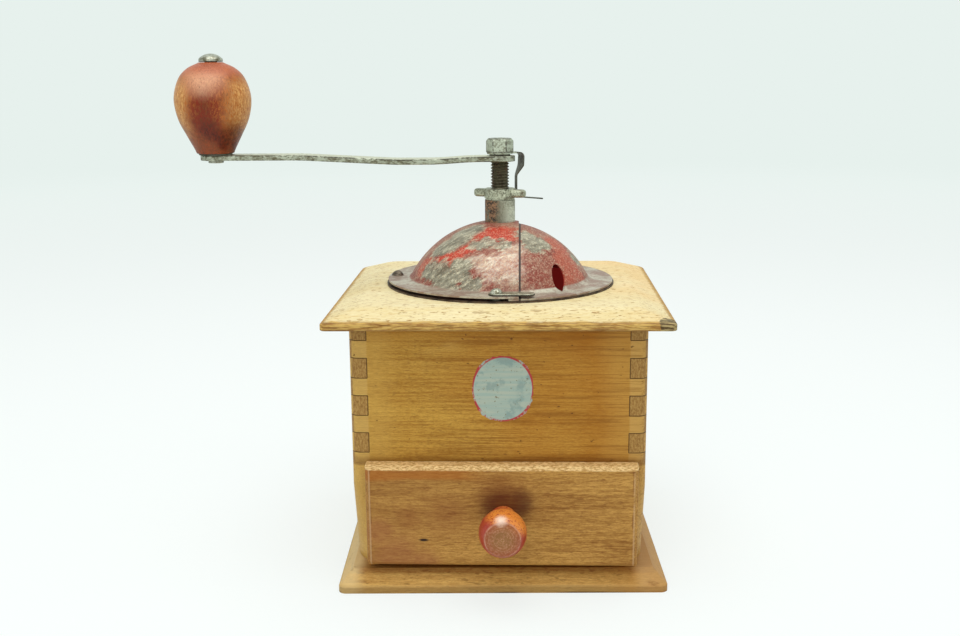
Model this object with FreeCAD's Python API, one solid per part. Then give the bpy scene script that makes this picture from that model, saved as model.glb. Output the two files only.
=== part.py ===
import FreeCAD, Part

import math
import os

from FreeCAD import Placement, Rotation, Vector

# A box coffee mill with a hand crank. Sizes are in millimetres. The origin is the middle of the base
# board's underside, on the spindle's axis: +X to the right, -Y towards the drawer's front, +Z up.

# Case
case_width = 116.0
case_depth = 116.0
case_height = 98.5
wall = 7.0
case_corner = 3.5
foot_corner = 16.0
foot_flare = 33.5
drawer_opening = 43.1
finger_pitch = 15.1
finger_height = 8.05
first_finger_rise = 4.4

# Base board and top board
base_overhang = 7.5
base_thickness = 8.5
base_edge = 2.5
base_bevel = 5.5
base_corner = 3.0
base_turn = 1.5
top_overhang = 9.5
top_thickness = 6.8
top_edge = 2.7
top_bevel = 13.0
top_front_corner = 2.0
top_back_corner = 11.0

# Screws from the base board into the side boards
base_screw_head = 3.4
base_screw_shank = 1.6
base_screw_bite = 17.5
base_screw_point = 3.0
base_screw_tip = 0.3
base_screw_inset = 35.0
base_screw_sunk = 0.4
slot_width = 0.8
slot_depth = 0.9

# Drawer
drawer_front_thickness = 7.0
drawer_front_bevel = 1.8
drawer_side_lap = 2.45
drawer_top_lap = 0.9
drawer_front_lift = 2.5
drawer_gap = 1.4
drawer_offset = 1.2
drawer_slide_gap = 0.2
drawer_wall = 5.0
drawer_floor = 3.0
drawer_floor_rise = 1.0
groove_depth = 2.5
drawer_headroom = 3.9
drawer_back_gap = 1.5

# Drawer knob, measured outwards from the drawer front
drawer_knob_length = 21.0
drawer_knob_radius = 9.15
drawer_knob_neck = 4.6
drawer_knob_foot = 5.4
drawer_knob_end = 6.6
drawer_knob_aside = 0.7
drawer_knob_drop = 0.6
knob_screw_head = 3.5
knob_screw_dome = 2.2
knob_screw_shank = 1.75
knob_screw_bite = 12.0

# Hopper dome
dome_radius = 43.1
dome_centre_drop = 16.5
sheet = 0.7
flange_radius = 48.0
dome_fillet = 3.0
track_gap = 0.2
dome_gap = 0.3
seam_x = 8.0
shutter_underlap = 4.0
shutter_top_gap = 0.9
finger_hole_angle = -46.7
finger_hole_lean = -26.8
finger_hole_width = 6.4
finger_hole_height = 10.6
finger_hole_rise = 6.2
finger_notch_radius = 1.6
finger_notch_lift = 1.5

# Funnel with the lower ring
ring_radius = 48.5
mouth_radius = 37.2
funnel_wall = 0.8
funnel_depth = 26.0
throat_radius = 15.0
funnel_lip_margin = 3.0
board_hole_gap = 0.5
ring_screw_inset = 5.0
ring_screw_head = 2.4
ring_screw_shank = 1.2
ring_screw_length = 6.0

# Clips and screws on the flange
clip_length = 18.4
clip_width = 6.2
clip_thickness = 0.8
clip_inset = 4.4
clip_screw_x = -0.9
shell_screw_inset = 3.4
shell_screw_angle = 177.0
shell_screw_head = 2.6
shell_screw_dome = 2.0
shell_screw_shank = 1.4
shell_screw_bite = 5.0
spacer_radius = 2.7
rivet_head = 2.2
rivet_dome = 1.5
rivet_shank = 1.2

# Spindle and its bearings
shaft_radius = 3.7
running_gap = 0.05
collar_radius = 6.4
collar_height = 9.4
collar_tail = 5.5
journal_radius = 3.5
shoulder_radius = 6.0
shoulder_height = 1.5
shoulder_lift = 0.8
journal_short = 0.3
keyway_width = 1.6
keyway_depth = 0.8
key_gap = 0.1
keyway_run = 3.0
thread_end_radius = 2.55
thread_end_short = 0.8
arm_square = 5.2

# Thrust washer and adjusting plate
face_gap = 0.1
thrust_washer_radius = 6.2
thrust_washer_height = 0.5
plate_radius = 6.6
plate_height = 3.9
wing_radius = 11.6
wing_width = 5.2
wing_height = 3.3
wing_rise = 0.3
wing_round = 1.2
wing_angle = -20.0
notch_count = 8
notch_radius = 0.6
notch_length = 3.0

# Crank
thread_length = 11.5
arm_length = 120.7
arm_thickness = 2.3
arm_eye_radius = 6.4
arm_width = 10.8
arm_dip = 1.0
arm_rise = 1.05
arm_flat = 12.0
arm_dip_start = 26.0
arm_dip_end = 44.0
arm_climb_end = 84.0
arm_bend_radius = 150.0
arm_boss_radius = 4.4
arm_boss_height = 0.8
nut_flats = 10.0
nut_height = 5.9
nut_chamfer = 1.1
nut_chamfer_run = 0.9

# Leaf spring
leaf_thickness = 0.55
leaf_width = 4.4
leaf_bulge_width = 5.3
leaf_waist_width = 1.6
leaf_tab_width = 2.4
leaf_angle = 26.0
leaf_clamp_radius = 5.4
leaf_clamp_margin = 0.6
leaf_bulge = 3.5
leaf_bulge_lean = 0.3
leaf_bulge_drop = 4.4
leaf_waist_gap = 0.7
leaf_waist_drop = 8.4
leaf_waist_end = 0.2
leaf_tab_length = 12.7
leaf_tab_drop = 1.5
leaf_split = 0.1
leaf_shoulder_radius = 1.5
leaf_bulge_radius = 2.5
leaf_waist_radius = 3.0
leaf_tab_radius = 2.0

# Crank knob, its pin and washers
knob_height = 37.6
knob_radius = 15.95
knob_foot_radius = 7.8
knob_crown_radius = 5.0
pin_radius = 2.5
pin_cap_radius = 5.0
pin_cap_rim = 1.2
pin_cap_height = 2.2
pin_tail_radius = 3.2
pin_tail_height = 1.2
knob_washer_radius = 7.0
knob_washer_height = 0.5
knob_gap = 0.2

# Burrs and the lower bridge
burr_ring_height = 26.2
burr_wall = 1.7
burr_flange_height = 3.0
burr_bolt_gap = 0.6
burr_bolt_shank = 1.5
burr_bolt_head = 2.9
burr_bolt_head_height = 2.6
burr_bolt_through = 1.0
ring_teeth = 16
ring_tooth_depth = 1.6
ring_top_bore = 14.6
ring_bottom_bore = 16.8
cone_teeth = 12
cone_tooth_depth = 1.5
cone_height = 22.7
cone_top_radius = 7.6
burr_gap = 0.55
tooth_twist = 6.0
tooth_levels = 4
cone_square = 7.6
cone_pin_radius = 1.0
cone_pin_length = 13.0
bridge_length = 52.0
bridge_width = 11.0
bridge_height = 4.0
bridge_lug_height = 7.0
bridge_boss_radius = 7.0
bridge_boss_drop = 3.0
bridge_screw_inset = 4.0
bridge_screw_shank = 1.6
bridge_screw_head = 3.0
bridge_screw_head_height = 2.4
bridge_screw_tip = 1.0

# Levels that several pieces share
case_top = base_thickness + case_height
front_board_bottom = base_thickness + drawer_opening
board_top = case_top + top_thickness
ring_top = board_top + sheet
shutter_flange_top = ring_top + track_gap + sheet
shell_flange_bottom = shutter_flange_top + track_gap
shell_flange_top = shell_flange_bottom + sheet
clip_top = shell_flange_top + clip_thickness
dome_centre = board_top - dome_centre_drop
collar_bottom = dome_centre + dome_radius - collar_tail - sheet
collar_top = dome_centre + math.sqrt(dome_radius**2 - collar_radius**2) + collar_height
washer_bottom = collar_top + face_gap
plate_bottom = washer_bottom + thrust_washer_height + face_gap
plate_top = plate_bottom + plate_height
arm_bottom = plate_top + thread_length
arm_top = arm_bottom + arm_thickness
leaf_bottom = arm_top + arm_boss_height
leaf_top = leaf_bottom + leaf_thickness
nut_top = leaf_top + nut_height
knob_arm_bottom = arm_bottom + arm_rise
knob_arm_top = knob_arm_bottom + arm_thickness
knob_bottom = knob_arm_top + knob_washer_height + knob_gap
knob_top = knob_bottom + knob_height
foot_top = board_top - funnel_depth
foot_bottom = foot_top - funnel_wall
burr_bottom = foot_bottom - burr_ring_height
bridge_bottom = burr_bottom - bridge_height
boss_bottom = bridge_bottom - bridge_boss_drop
shoulder_bottom = burr_bottom + shoulder_lift
cone_bottom = shoulder_bottom + shoulder_height
cone_top = cone_bottom + cone_height

# Distances from the spindle that several pieces share
half_width = case_width / 2
half_depth = case_depth / 2
board_hole_radius = mouth_radius + funnel_wall * math.sqrt(2) + board_hole_gap
ring_screw_circle = ring_radius - ring_screw_inset
shell_screw_circle = flange_radius - shell_screw_inset
clip_y = flange_radius - clip_inset
clip_x = clip_screw_x + (clip_length - clip_width) / 2
burr_ring_radius = ring_bottom_bore + burr_wall
burr_bolt_circle = burr_ring_radius + burr_bolt_head + burr_bolt_gap
funnel_lip_radius = burr_bolt_circle + funnel_lip_margin
leaf_reach = arm_eye_radius + leaf_clamp_margin

# The drawer's places in the case
drawer_half = half_width - wall - drawer_gap
drawer_box_front = -half_depth - drawer_slide_gap
drawer_face = drawer_box_front - drawer_front_thickness
drawer_box_back = half_depth - wall - drawer_back_gap
drawer_box_bottom = base_thickness + drawer_slide_gap
drawer_box_top = front_board_bottom - drawer_headroom
drawer_floor_bottom = drawer_box_bottom + drawer_floor_rise
drawer_front_half = half_width - wall + drawer_side_lap
drawer_front_bottom = base_thickness + drawer_front_lift
drawer_front_top = front_board_bottom + drawer_top_lap
drawer_knob_z = (drawer_front_bottom + drawer_front_top) / 2 - drawer_knob_drop

# Room that a cutting body reaches past what it cuts
BEYOND = 1.0
SPINDLE = Vector(0, 0, 1)


def box(x0, x1, y0, y1, z0, z1):
    """A block between two corners."""
    return Part.makeBox(x1 - x0, y1 - y0, z1 - z0, Vector(x0, y0, z0))


def post(radius, z0, z1, x=0.0, y=0.0):
    """An upright cylinder."""
    return Part.makeCylinder(radius, z1 - z0, Vector(x, y, z0))


def square_post(side, z0, z1):
    """An upright square bar on the spindle's axis."""
    return box(-side / 2, side / 2, -side / 2, side / 2, z0, z1)


def taper(lower, upper, z0, z1, x=0.0, y=0.0):
    """An upright cone frustum."""
    return Part.makeCone(lower, upper, z1 - z0, Vector(x, y, z0))


def cap(radius, height, z, x=0.0, y=0.0):
    """A spherical cap standing on the level z."""
    ball = (radius**2 + height**2) / (2 * height)
    sphere = Part.makeSphere(ball, Vector(x, y, z + height - ball))
    return sphere.common(post(radius * 1.01, z, z + height, x, y))


def turned(shape, angle):
    """The shape, turned about the spindle's axis by an angle in degrees."""
    copy = shape.copy()
    copy.rotate(Vector(0, 0, 0), SPINDLE, angle)
    return copy


def polar(radius, angle):
    """The x and y of a point at a radius and an angle in degrees from +X."""
    return radius * math.cos(math.radians(angle)), radius * math.sin(math.radians(angle))


def lathe(edges):
    """A closed section in the XZ plane, revolved about the spindle's axis."""
    return Part.Face(Part.Wire(edges)).revolve(Vector(0, 0, 0), SPINDLE, 360)


def line(start, end):
    return Part.makeLine(Vector(*start), Vector(*end))


def arc(start, middle, end):
    return Part.Arc(Vector(*start), Vector(*middle), Vector(*end)).toShape()


def spline(points):
    curve = Part.BSplineCurve()
    curve.interpolate([Vector(*p) for p in points])
    return curve.toShape()


def rounded_path(start, bends, end):
    """Straight runs in the XZ plane, joined at each (x, z, radius) by a tangent arc."""
    stops = [start] + [b[:2] for b in bends] + [end]
    points = [Vector(x, 0, z) for x, z in stops]
    edges = []
    at = points[0]
    for k, (_, _, radius) in enumerate(bends, start=1):
        come = (points[k] - points[k - 1]).normalize()
        go = (points[k + 1] - points[k]).normalize()
        half = come.getAngle(go) / 2
        trim = radius * math.tan(half)
        middle = points[k] + (go - come).normalize() * (radius / math.cos(half) - radius)
        edges.append(Part.makeLine(at, points[k] - come * trim))
        edges.append(Part.Arc(points[k] - come * trim, middle, points[k] + go * trim).toShape())
        at = points[k] + go * trim
    edges.append(Part.makeLine(at, points[-1]))
    return Part.Wire(edges)


def rounded_rectangle(half_x, half_y, z, front, back):
    """A level outline with one radius at its two front corners and one at its two back corners."""
    corners = [
        (half_x, -half_y, front, (1, 0), (0, 1)),
        (half_x, half_y, back, (0, 1), (-1, 0)),
        (-half_x, half_y, back, (-1, 0), (0, -1)),
        (-half_x, -half_y, front, (0, -1), (1, 0)),
    ]
    bends = []
    for x, y, radius, come, go in corners:
        corner = Vector(x, y, z)
        come = Vector(come[0], come[1], 0)
        go = Vector(go[0], go[1], 0)
        centre = corner + (go - come) * radius
        middle = centre + (come - go) * (radius / math.sqrt(2))
        bends.append((corner - come * radius, middle, corner + go * radius))
    edges = []
    for k, (start, middle, end) in enumerate(bends):
        edges.append(Part.Arc(start, middle, end).toShape())
        edges.append(Part.makeLine(end, bends[(k + 1) % 4][0]))
    return Part.Wire(edges)


def slab(outline, height):
    """A flat board on a level outline."""
    return Part.Face(outline).extrude(Vector(0, 0, height))


def between(lower, upper):
    """The ruled solid between two outlines with as many edges."""
    return Part.makeLoft([lower, upper], True, True)


def obround(length, width, thickness, x, y, z):
    """A flat strip with round ends, along X."""
    reach = (length - width) / 2
    strip = box(x - reach, x + reach, y - width / 2, y + width / 2, z, z + thickness)
    ends = [post(width / 2, z, z + thickness, x + s * reach, y) for s in (-1, 1)]
    return strip.fuse(ends).removeSplitter()


def save(name, shape):
    """Writes one piece, or one group of like pieces, and prints what it holds."""
    shape.exportStep("parts/" + name + ".step")
    print(f"{name}: {len(shape.Solids)} solid, {shape.Volume / 1000:.2f} cm3, valid {shape.isValid()}")


# Case


def case_blank():
    """The outer form of the case: upright corners that flare to a larger radius at the foot."""
    flare_top = base_thickness + foot_flare

    def outline(z, radius):
        return rounded_rectangle(half_width, half_depth, z, radius, radius)

    foot = between(outline(base_thickness, foot_corner), outline(flare_top, case_corner))
    return foot.fuse(slab(outline(flare_top, case_corner), case_top - flare_top))


def fingers(side, y_side, bottom):
    """The side board's joint fingers at one corner, from a level up to the case's top."""
    x0, x1 = sorted((side * half_width, side * (half_width - wall)))
    y0, y1 = sorted((y_side * half_depth, y_side * (half_depth - wall)))
    lowest = front_board_bottom + first_finger_rise
    tongues = []
    for k in range(-4, 12):
        z0 = max(lowest + k * finger_pitch, bottom)
        z1 = min(lowest + k * finger_pitch + finger_height, case_top)
        if z1 > z0:
            tongues.append(box(x0, x1, y0, y1, z0, z1))
    return Part.makeCompound(tongues)


def base_screws():
    """Countersunk wood screws, heads up in the base board's underside, points in the side boards."""
    screws = []
    for side in (-1, 1):
        for y in (-base_screw_inset, base_screw_inset):
            x = side * (half_width - wall / 2)
            head_top = base_screw_sunk + base_screw_head - base_screw_shank
            shank_top = base_thickness + base_screw_bite
            head = taper(base_screw_head, base_screw_shank, base_screw_sunk, head_top, x, y)
            shank = post(base_screw_shank, head_top, shank_top, x, y)
            point = taper(base_screw_shank, base_screw_tip, shank_top, shank_top + base_screw_point, x, y)
            screws.append(head.fuse([shank, point]).removeSplitter())
    return Part.makeCompound(screws)


def screw_slots():
    """The slots across the base screws' heads."""
    slots = []
    for side in (-1, 1):
        for y in (-base_screw_inset, base_screw_inset):
            x = side * (half_width - wall / 2)
            reach = base_screw_head + BEYOND
            top = base_screw_sunk + slot_depth
            slots.append(box(x - reach, x + reach, y - slot_width / 2, y + slot_width / 2, -BEYOND, top))
    return Part.makeCompound(slots)


def base_board(screws):
    """The bevelled board under the case, screwed on a little askew."""

    def outline(inset, z, radius):
        margin = base_overhang - inset
        return rounded_rectangle(half_width + margin, half_depth + margin, z, radius, radius)

    edge = slab(outline(0, 0, base_corner), base_edge)
    bevel = between(outline(0, base_edge, base_corner), outline(base_bevel, base_thickness, base_corner / 2))
    board = turned(edge.fuse(bevel), base_turn)
    for x in (-half_width + wall / 2, half_width - wall / 2):
        for y in (-base_screw_inset, base_screw_inset):
            board = board.cut(post(base_screw_head, -BEYOND, base_screw_sunk, x, y))
    return board.cut(screws)


def side_board(side, blank, screws):
    x0, x1 = sorted((side * half_width, side * (half_width - wall)))
    inner = half_depth - wall
    board = box(x0, x1, -inner, inner, base_thickness, case_top)
    below = box(x0, x1, -half_depth, -inner, base_thickness, front_board_bottom)
    front = fingers(side, -1, front_board_bottom)
    back = fingers(side, 1, base_thickness)
    board = board.fuse([below] + front.Solids + back.Solids).removeSplitter()
    return board.common(blank).cut(screws)


def cross_board(y_side, bottom, blank):
    """The front or the back board, notched for the side boards' fingers."""
    y0, y1 = sorted((y_side * half_depth, y_side * (half_depth - wall)))
    board = box(-half_width, half_width, y0, y1, bottom, case_top)
    for side in (-1, 1):
        board = board.cut(fingers(side, y_side, bottom))
    return board.common(blank)


def top_board():
    def outline(inset, z, share):
        margin = top_overhang - inset
        front = top_front_corner * share
        back = top_back_corner * share
        return rounded_rectangle(half_width + margin, half_depth + margin, z, front, back)

    edge_top = case_top + top_edge
    edge = slab(outline(0, case_top, 1), top_edge)
    bevel = between(outline(0, edge_top, 1), outline(top_bevel, board_top, 0.5))
    return edge.fuse(bevel).cut(post(board_hole_radius, case_top - BEYOND, board_top + BEYOND))


# Drawer, worked out in the middle of the case and then moved across to its place


def across(shape):
    """The shape at the drawer's place, which is nearer to one side of the opening."""
    copy = shape.copy()
    copy.translate(Vector(drawer_offset, 0, 0))
    return copy


def drawer_front():
    block = box(
        -drawer_front_half, drawer_front_half,
        drawer_face, drawer_box_front,
        drawer_front_bottom, drawer_front_top,
    )
    rim = [e for e in block.Edges if abs(e.CenterOfMass.y - drawer_face) < 0.001]
    block = block.makeChamfer(drawer_front_bevel, rim)
    return block.cut(drawer_knob_screw())


def drawer_floor_panel(reach):
    """The bottom panel, or with no reach the part of it that lies between the walls."""
    return box(
        -drawer_half + drawer_wall - reach, drawer_half - drawer_wall + reach,
        drawer_box_front, drawer_box_back - drawer_wall + reach,
        drawer_floor_bottom, drawer_floor_bottom + drawer_floor,
    )


def drawer_side(side, floor):
    x0, x1 = sorted((side * drawer_half, side * (drawer_half - drawer_wall)))
    return box(x0, x1, drawer_box_front, drawer_box_back, drawer_box_bottom, drawer_box_top).cut(floor)


def drawer_back(floor):
    inner = drawer_half - drawer_wall
    front = drawer_box_back - drawer_wall
    return box(-inner, inner, front, drawer_box_back, drawer_box_bottom, drawer_box_top).cut(floor)


def drawer_knob():
    """A turned knob: narrow neck, round belly, flattened end."""
    stations = [
        (drawer_knob_foot, 0.0),
        (drawer_knob_neck, 0.14),
        (0.66 * drawer_knob_radius, 0.33),
        (drawer_knob_radius, 0.65),
        (0.93 * drawer_knob_radius, 0.84),
        (drawer_knob_end, 1.0),
    ]
    side = spline([(r, 0, share * drawer_knob_length) for r, share in stations])
    edges = [
        line((0, 0, 0), (drawer_knob_foot, 0, 0)),
        side,
        line((drawer_knob_end, 0, drawer_knob_length), (0, 0, drawer_knob_length)),
        line((0, 0, drawer_knob_length), (0, 0, 0)),
    ]
    knob = lathe(edges)
    return placed_on_drawer(knob).cut(drawer_knob_screw())


def placed_on_drawer(shape):
    """Moves a shape that stands on +Z so that it stands out from the drawer's face."""
    copy = shape.copy()
    copy.Placement = Placement(Vector(drawer_knob_aside, drawer_face, drawer_knob_z), Rotation(Vector(1, 0, 0), 90))
    return copy


def drawer_knob_screw():
    """A round-headed wood screw, from inside the drawer through its front into the knob."""
    length = drawer_front_thickness + knob_screw_bite
    head = cap(knob_screw_head, knob_screw_dome, 0)
    head.rotate(Vector(0, 0, 0), Vector(1, 0, 0), 180)
    screw = head.fuse(post(knob_screw_shank, -knob_screw_dome / 2, length)).removeSplitter()
    screw.translate(Vector(0, 0, -drawer_front_thickness))
    return placed_on_drawer(screw)


# Hopper


def half_dome(radius, flange_top, fillet, hole, reach):
    """A sheet dome with a flange: its section is a sphere's arc that a fillet joins to the flange."""
    run = math.sqrt((radius + fillet) ** 2 - (flange_top + fillet - dome_centre) ** 2)
    lean = math.atan2(run, flange_top + fillet - dome_centre)

    def on_sphere(ball, angle):
        return (ball * math.sin(angle), 0, dome_centre + ball * math.cos(angle))

    def on_fillet(bend, share):
        angle = lean * share
        return (run - bend * math.sin(angle), 0, flange_top + fillet - bend * math.cos(angle))

    inner = radius - sheet
    under = fillet + sheet
    outer_start = math.asin(hole / radius)
    inner_start = math.asin(hole / inner)
    low = flange_top - sheet
    edges = [
        arc(on_sphere(radius, outer_start), on_sphere(radius, (outer_start + lean) / 2), on_sphere(radius, lean)),
        arc(on_sphere(radius, lean), on_fillet(fillet, 0.5), on_fillet(fillet, 0)),
        line(on_fillet(fillet, 0), (reach, 0, flange_top)),
        line((reach, 0, flange_top), (reach, 0, low)),
        line((reach, 0, low), on_fillet(under, 0)),
        arc(on_fillet(under, 0), on_fillet(under, 0.5), on_sphere(inner, lean)),
        arc(on_sphere(inner, lean), on_sphere(inner, (inner_start + lean) / 2), on_sphere(inner, inner_start)),
        line(on_sphere(inner, inner_start), on_sphere(radius, outer_start)),
    ]
    return lathe(edges)


def beyond(x):
    """Everything of the hopper to the right of an upright plane."""
    return box(x, 2 * ring_radius, -2 * ring_radius, 2 * ring_radius, board_top, nut_top)


def hopper_shell(fasteners):
    dome = half_dome(dome_radius, shell_flange_top, dome_fillet, collar_radius, flange_radius)
    return dome.cut(beyond(seam_x)).cut(fasteners)


def hopper_shutter():
    """The moving half: it runs inside the fixed half, its flange in the track above the ring."""
    radius = dome_radius - sheet - dome_gap
    fillet = dome_fillet + (shell_flange_top - shutter_flange_top)
    dome = half_dome(radius, shutter_flange_top, fillet, collar_radius + shutter_top_gap, flange_radius)
    dome = dome.common(beyond(seam_x - shutter_underlap))
    return dome.cut(finger_hole())


def finger_hole():
    """An oval with a small round notch at its foot, leaning a little and cut level towards the spindle."""
    z = board_top + finger_hole_rise
    oval = Part.Ellipse(
        Vector(dome_radius, 0, z + finger_hole_height / 2),
        Vector(dome_radius, finger_hole_width / 2, z),
        Vector(dome_radius, 0, z),
    )
    cut = Part.Face(Part.Wire(oval.toShape())).extrude(Vector(-dome_radius / 2, 0, 0))
    foot = z - finger_hole_height / 2 + finger_notch_lift
    notch = Part.makeCylinder(
        finger_notch_radius, dome_radius / 2, Vector(dome_radius / 2, 0, foot), Vector(1, 0, 0)
    )
    hole = cut.fuse(notch)
    hole.rotate(Vector(0, 0, z), Vector(1, 0, 0), finger_hole_lean)
    return turned(hole, finger_hole_angle)


def hopper_funnel(fasteners):
    """The lower ring, the cone that carries the beans down, and the lip that the outer burr hangs from."""
    level_wall = funnel_wall * math.sqrt(2)
    section = [
        (ring_radius, board_top), (ring_radius, ring_top), (mouth_radius, ring_top),
        (throat_radius, foot_top), (throat_radius, foot_bottom), (funnel_lip_radius, foot_bottom),
        (funnel_lip_radius, foot_top), (throat_radius + level_wall, foot_top),
        (mouth_radius + level_wall, board_top),
    ]
    corners = [(r, 0, z) for r, z in section]
    edges = [line(corners[k], corners[(k + 1) % len(corners)]) for k in range(len(corners))]
    return lathe(edges).cut(fasteners)


def ring_screws():
    """Countersunk screws, flush in the ring, under the shutter's track."""
    screws = []
    for k in range(3):
        x, y = polar(ring_screw_circle, 120 * k)
        neck = ring_top - (ring_screw_head - ring_screw_shank)
        head = taper(ring_screw_shank, ring_screw_head, neck, ring_top, x, y)
        shank = post(ring_screw_shank, ring_top - ring_screw_length, neck, x, y)
        screws.append(head.fuse(shank))
    return Part.makeCompound(screws)


shell_screw_places = [
    polar(shell_screw_circle, shell_screw_angle) + (shell_flange_top,),
    (clip_screw_x, -clip_y, clip_top),
]


def shell_screws():
    """Round-headed screws through the fixed flange, one of them through the front clip."""
    screws = []
    for x, y, seat in shell_screw_places:
        head = cap(shell_screw_head, shell_screw_dome, seat, x, y)
        shank = post(shell_screw_shank, board_top - shell_screw_bite, seat + shell_screw_dome / 2, x, y)
        screws.append(head.fuse(shank).removeSplitter())
    slot_x, slot_y, seat = shell_screw_places[0]
    reach = shell_screw_head + BEYOND
    slot_bottom = seat + shell_screw_dome - slot_depth
    slot = box(
        slot_x - reach, slot_x + reach,
        slot_y - slot_width / 2, slot_y + slot_width / 2,
        slot_bottom, slot_bottom + slot_depth + BEYOND,
    )
    screws[0] = screws[0].cut(slot)
    return Part.makeCompound(screws)


def screw_spacers():
    """Small tubes on the screws that hold the fixed flange above the shutter's track."""
    tubes = []
    for x, y, _ in shell_screw_places:
        ring = post(spacer_radius, ring_top, shell_flange_bottom, x, y)
        tubes.append(ring.cut(post(shell_screw_shank, ring_top, shell_flange_bottom, x, y)))
    return Part.makeCompound(tubes)


def clip(y_side, fastener):
    """An oblong plate on the fixed flange, its free end over the shutter's flange."""
    return obround(clip_length, clip_width, clip_thickness, clip_x, y_side * clip_y, shell_flange_top).cut(fastener)


def clip_rivet():
    """The rivet of the rear clip, flush under the fixed flange so that the shutter passes it."""
    head = cap(rivet_head, rivet_dome, clip_top, clip_screw_x, clip_y)
    shank = post(rivet_shank, shell_flange_bottom, clip_top + rivet_dome / 2, clip_screw_x, clip_y)
    return head.fuse(shank).removeSplitter()


# Grinding set


def star(teeth, outer, depth, z, turn):
    """A level saw-toothed outline: each tooth rises slowly to its tip and falls back at once."""
    points = []
    for k in range(teeth):
        start = turn + 360 * k / teeth
        points.append(Vector(*polar(outer - depth, start + 0.15 * 360 / teeth), z))
        points.append(Vector(*polar(outer, start + 0.85 * 360 / teeth), z))
    points.append(points[0])
    return Part.makePolygon(points)


def twisted(teeth, sizes, depth, heights):
    """A stack of saw-toothed outlines, each turned a little further, joined by ruled faces."""
    outlines = [
        star(teeth, size, depth, z, tooth_twist * k)
        for k, (size, z) in enumerate(zip(sizes, heights))
    ]
    return Part.makeLoft(outlines, True, True)


def cone_radius(share):
    """The inner burr's tip radius: steep at the top, then nearly upright where it grinds fine."""
    largest = ring_bottom_bore - ring_tooth_depth - burr_gap
    return largest + (cone_top_radius - largest) * share**1.4


def burr_cone():
    shares = [k / tooth_levels for k in range(tooth_levels + 1)]
    heights = [cone_bottom + cone_height * s for s in shares]
    body = twisted(cone_teeth, [cone_radius(s) for s in shares], cone_tooth_depth, heights)
    return body.cut(square_post(cone_square, cone_bottom - BEYOND, cone_top + BEYOND))


def burr_ring(fasteners):
    """The outer burr: a cast ring with inner teeth, a bolting flange and two lugs for the bridge."""
    top = foot_bottom
    body = post(burr_ring_radius, burr_bottom, top)
    flange = post(funnel_lip_radius, top - burr_flange_height, top)
    lugs = bridge_bar(burr_bottom, burr_bottom + bridge_lug_height)
    shares = [k / tooth_levels for k in range(tooth_levels + 1)]
    heights = [burr_bottom + burr_ring_height * s for s in shares]
    sizes = [ring_bottom_bore + (ring_top_bore - ring_bottom_bore) * s for s in shares]
    bore = twisted(ring_teeth, sizes, ring_tooth_depth, heights)
    return body.fuse([flange, lugs]).removeSplitter().cut(bore).cut(fasteners)


def burr_bolts():
    """Bolts from below through the outer burr's flange into the funnel's lip."""
    bolts = []
    for k in range(3):
        x, y = polar(burr_bolt_circle, 90 + 120 * k)
        seat = foot_bottom - burr_flange_height
        head = post(burr_bolt_head, seat - burr_bolt_head_height, seat, x, y)
        shank = post(burr_bolt_shank, seat, foot_top + burr_bolt_through, x, y)
        bolts.append(head.fuse(shank))
    return Part.makeCompound(bolts)


def bridge_bar(z0, z1):
    """The outline that the bridge and the outer burr's lugs share."""
    reach = bridge_length / 2
    return box(-reach, reach, -bridge_width / 2, bridge_width / 2, z0, z1)


def bottom_bridge(screws):
    boss = post(bridge_boss_radius, boss_bottom, burr_bottom)
    bore = post(journal_radius + running_gap, boss_bottom - BEYOND, burr_bottom + BEYOND)
    return bridge_bar(bridge_bottom, burr_bottom).fuse(boss).removeSplitter().cut(bore).cut(screws)


def bridge_screws():
    screws = []
    tip = burr_bottom + bridge_lug_height - bridge_screw_tip
    for side in (-1, 1):
        x = side * (bridge_length / 2 - bridge_screw_inset)
        head = post(bridge_screw_head, bridge_bottom - bridge_screw_head_height, bridge_bottom, x)
        screws.append(head.fuse(post(bridge_screw_shank, bridge_bottom, tip, x)))
    return Part.makeCompound(screws)


# Spindle


def spindle(cross_pin):
    """The shaft: journal, shoulder, square for the inner burr, bearing stretch, thread, square, thread end."""
    parts = [
        post(journal_radius, boss_bottom + journal_short, shoulder_bottom),
        post(shoulder_radius, shoulder_bottom, cone_bottom),
        square_post(cone_square, cone_bottom, cone_top),
        post(shaft_radius, cone_bottom, arm_bottom),
        square_post(arm_square, arm_bottom, leaf_top),
        post(thread_end_radius, leaf_top, nut_top - thread_end_short),
    ]
    shaft = parts[0].fuse(parts[1:]).removeSplitter()
    keyway = box(
        -keyway_width / 2, keyway_width / 2,
        shaft_radius - keyway_depth, shaft_radius + BEYOND,
        washer_bottom - keyway_run, arm_bottom,
    )
    return shaft.cut(keyway).cut(cross_pin)


def cone_pin():
    """A cross pin through the spindle, just above the inner burr."""
    z = cone_top + cone_pin_radius
    return Part.makeCylinder(cone_pin_radius, cone_pin_length, Vector(-cone_pin_length / 2, 0, z), Vector(1, 0, 0))


def shaft_collar():
    """The tube on top of the dome that carries the spindle's upper bearing."""
    return post(collar_radius, collar_bottom, collar_top).cut(
        post(shaft_radius + running_gap, collar_bottom - BEYOND, collar_top + BEYOND)
    )


def thrust_washer():
    """The washer between collar and plate, keyed to the spindle so that it turns with it."""
    top = washer_bottom + thrust_washer_height
    ring = post(thrust_washer_radius, washer_bottom, top)
    ring = ring.cut(post(shaft_radius + running_gap, washer_bottom, top))
    key = box(
        -keyway_width / 2 + key_gap, keyway_width / 2 - key_gap,
        shaft_radius - keyway_depth + key_gap, (shaft_radius + thrust_washer_radius) / 2,
        washer_bottom, top,
    )
    return ring.fuse(key).removeSplitter()


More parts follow.
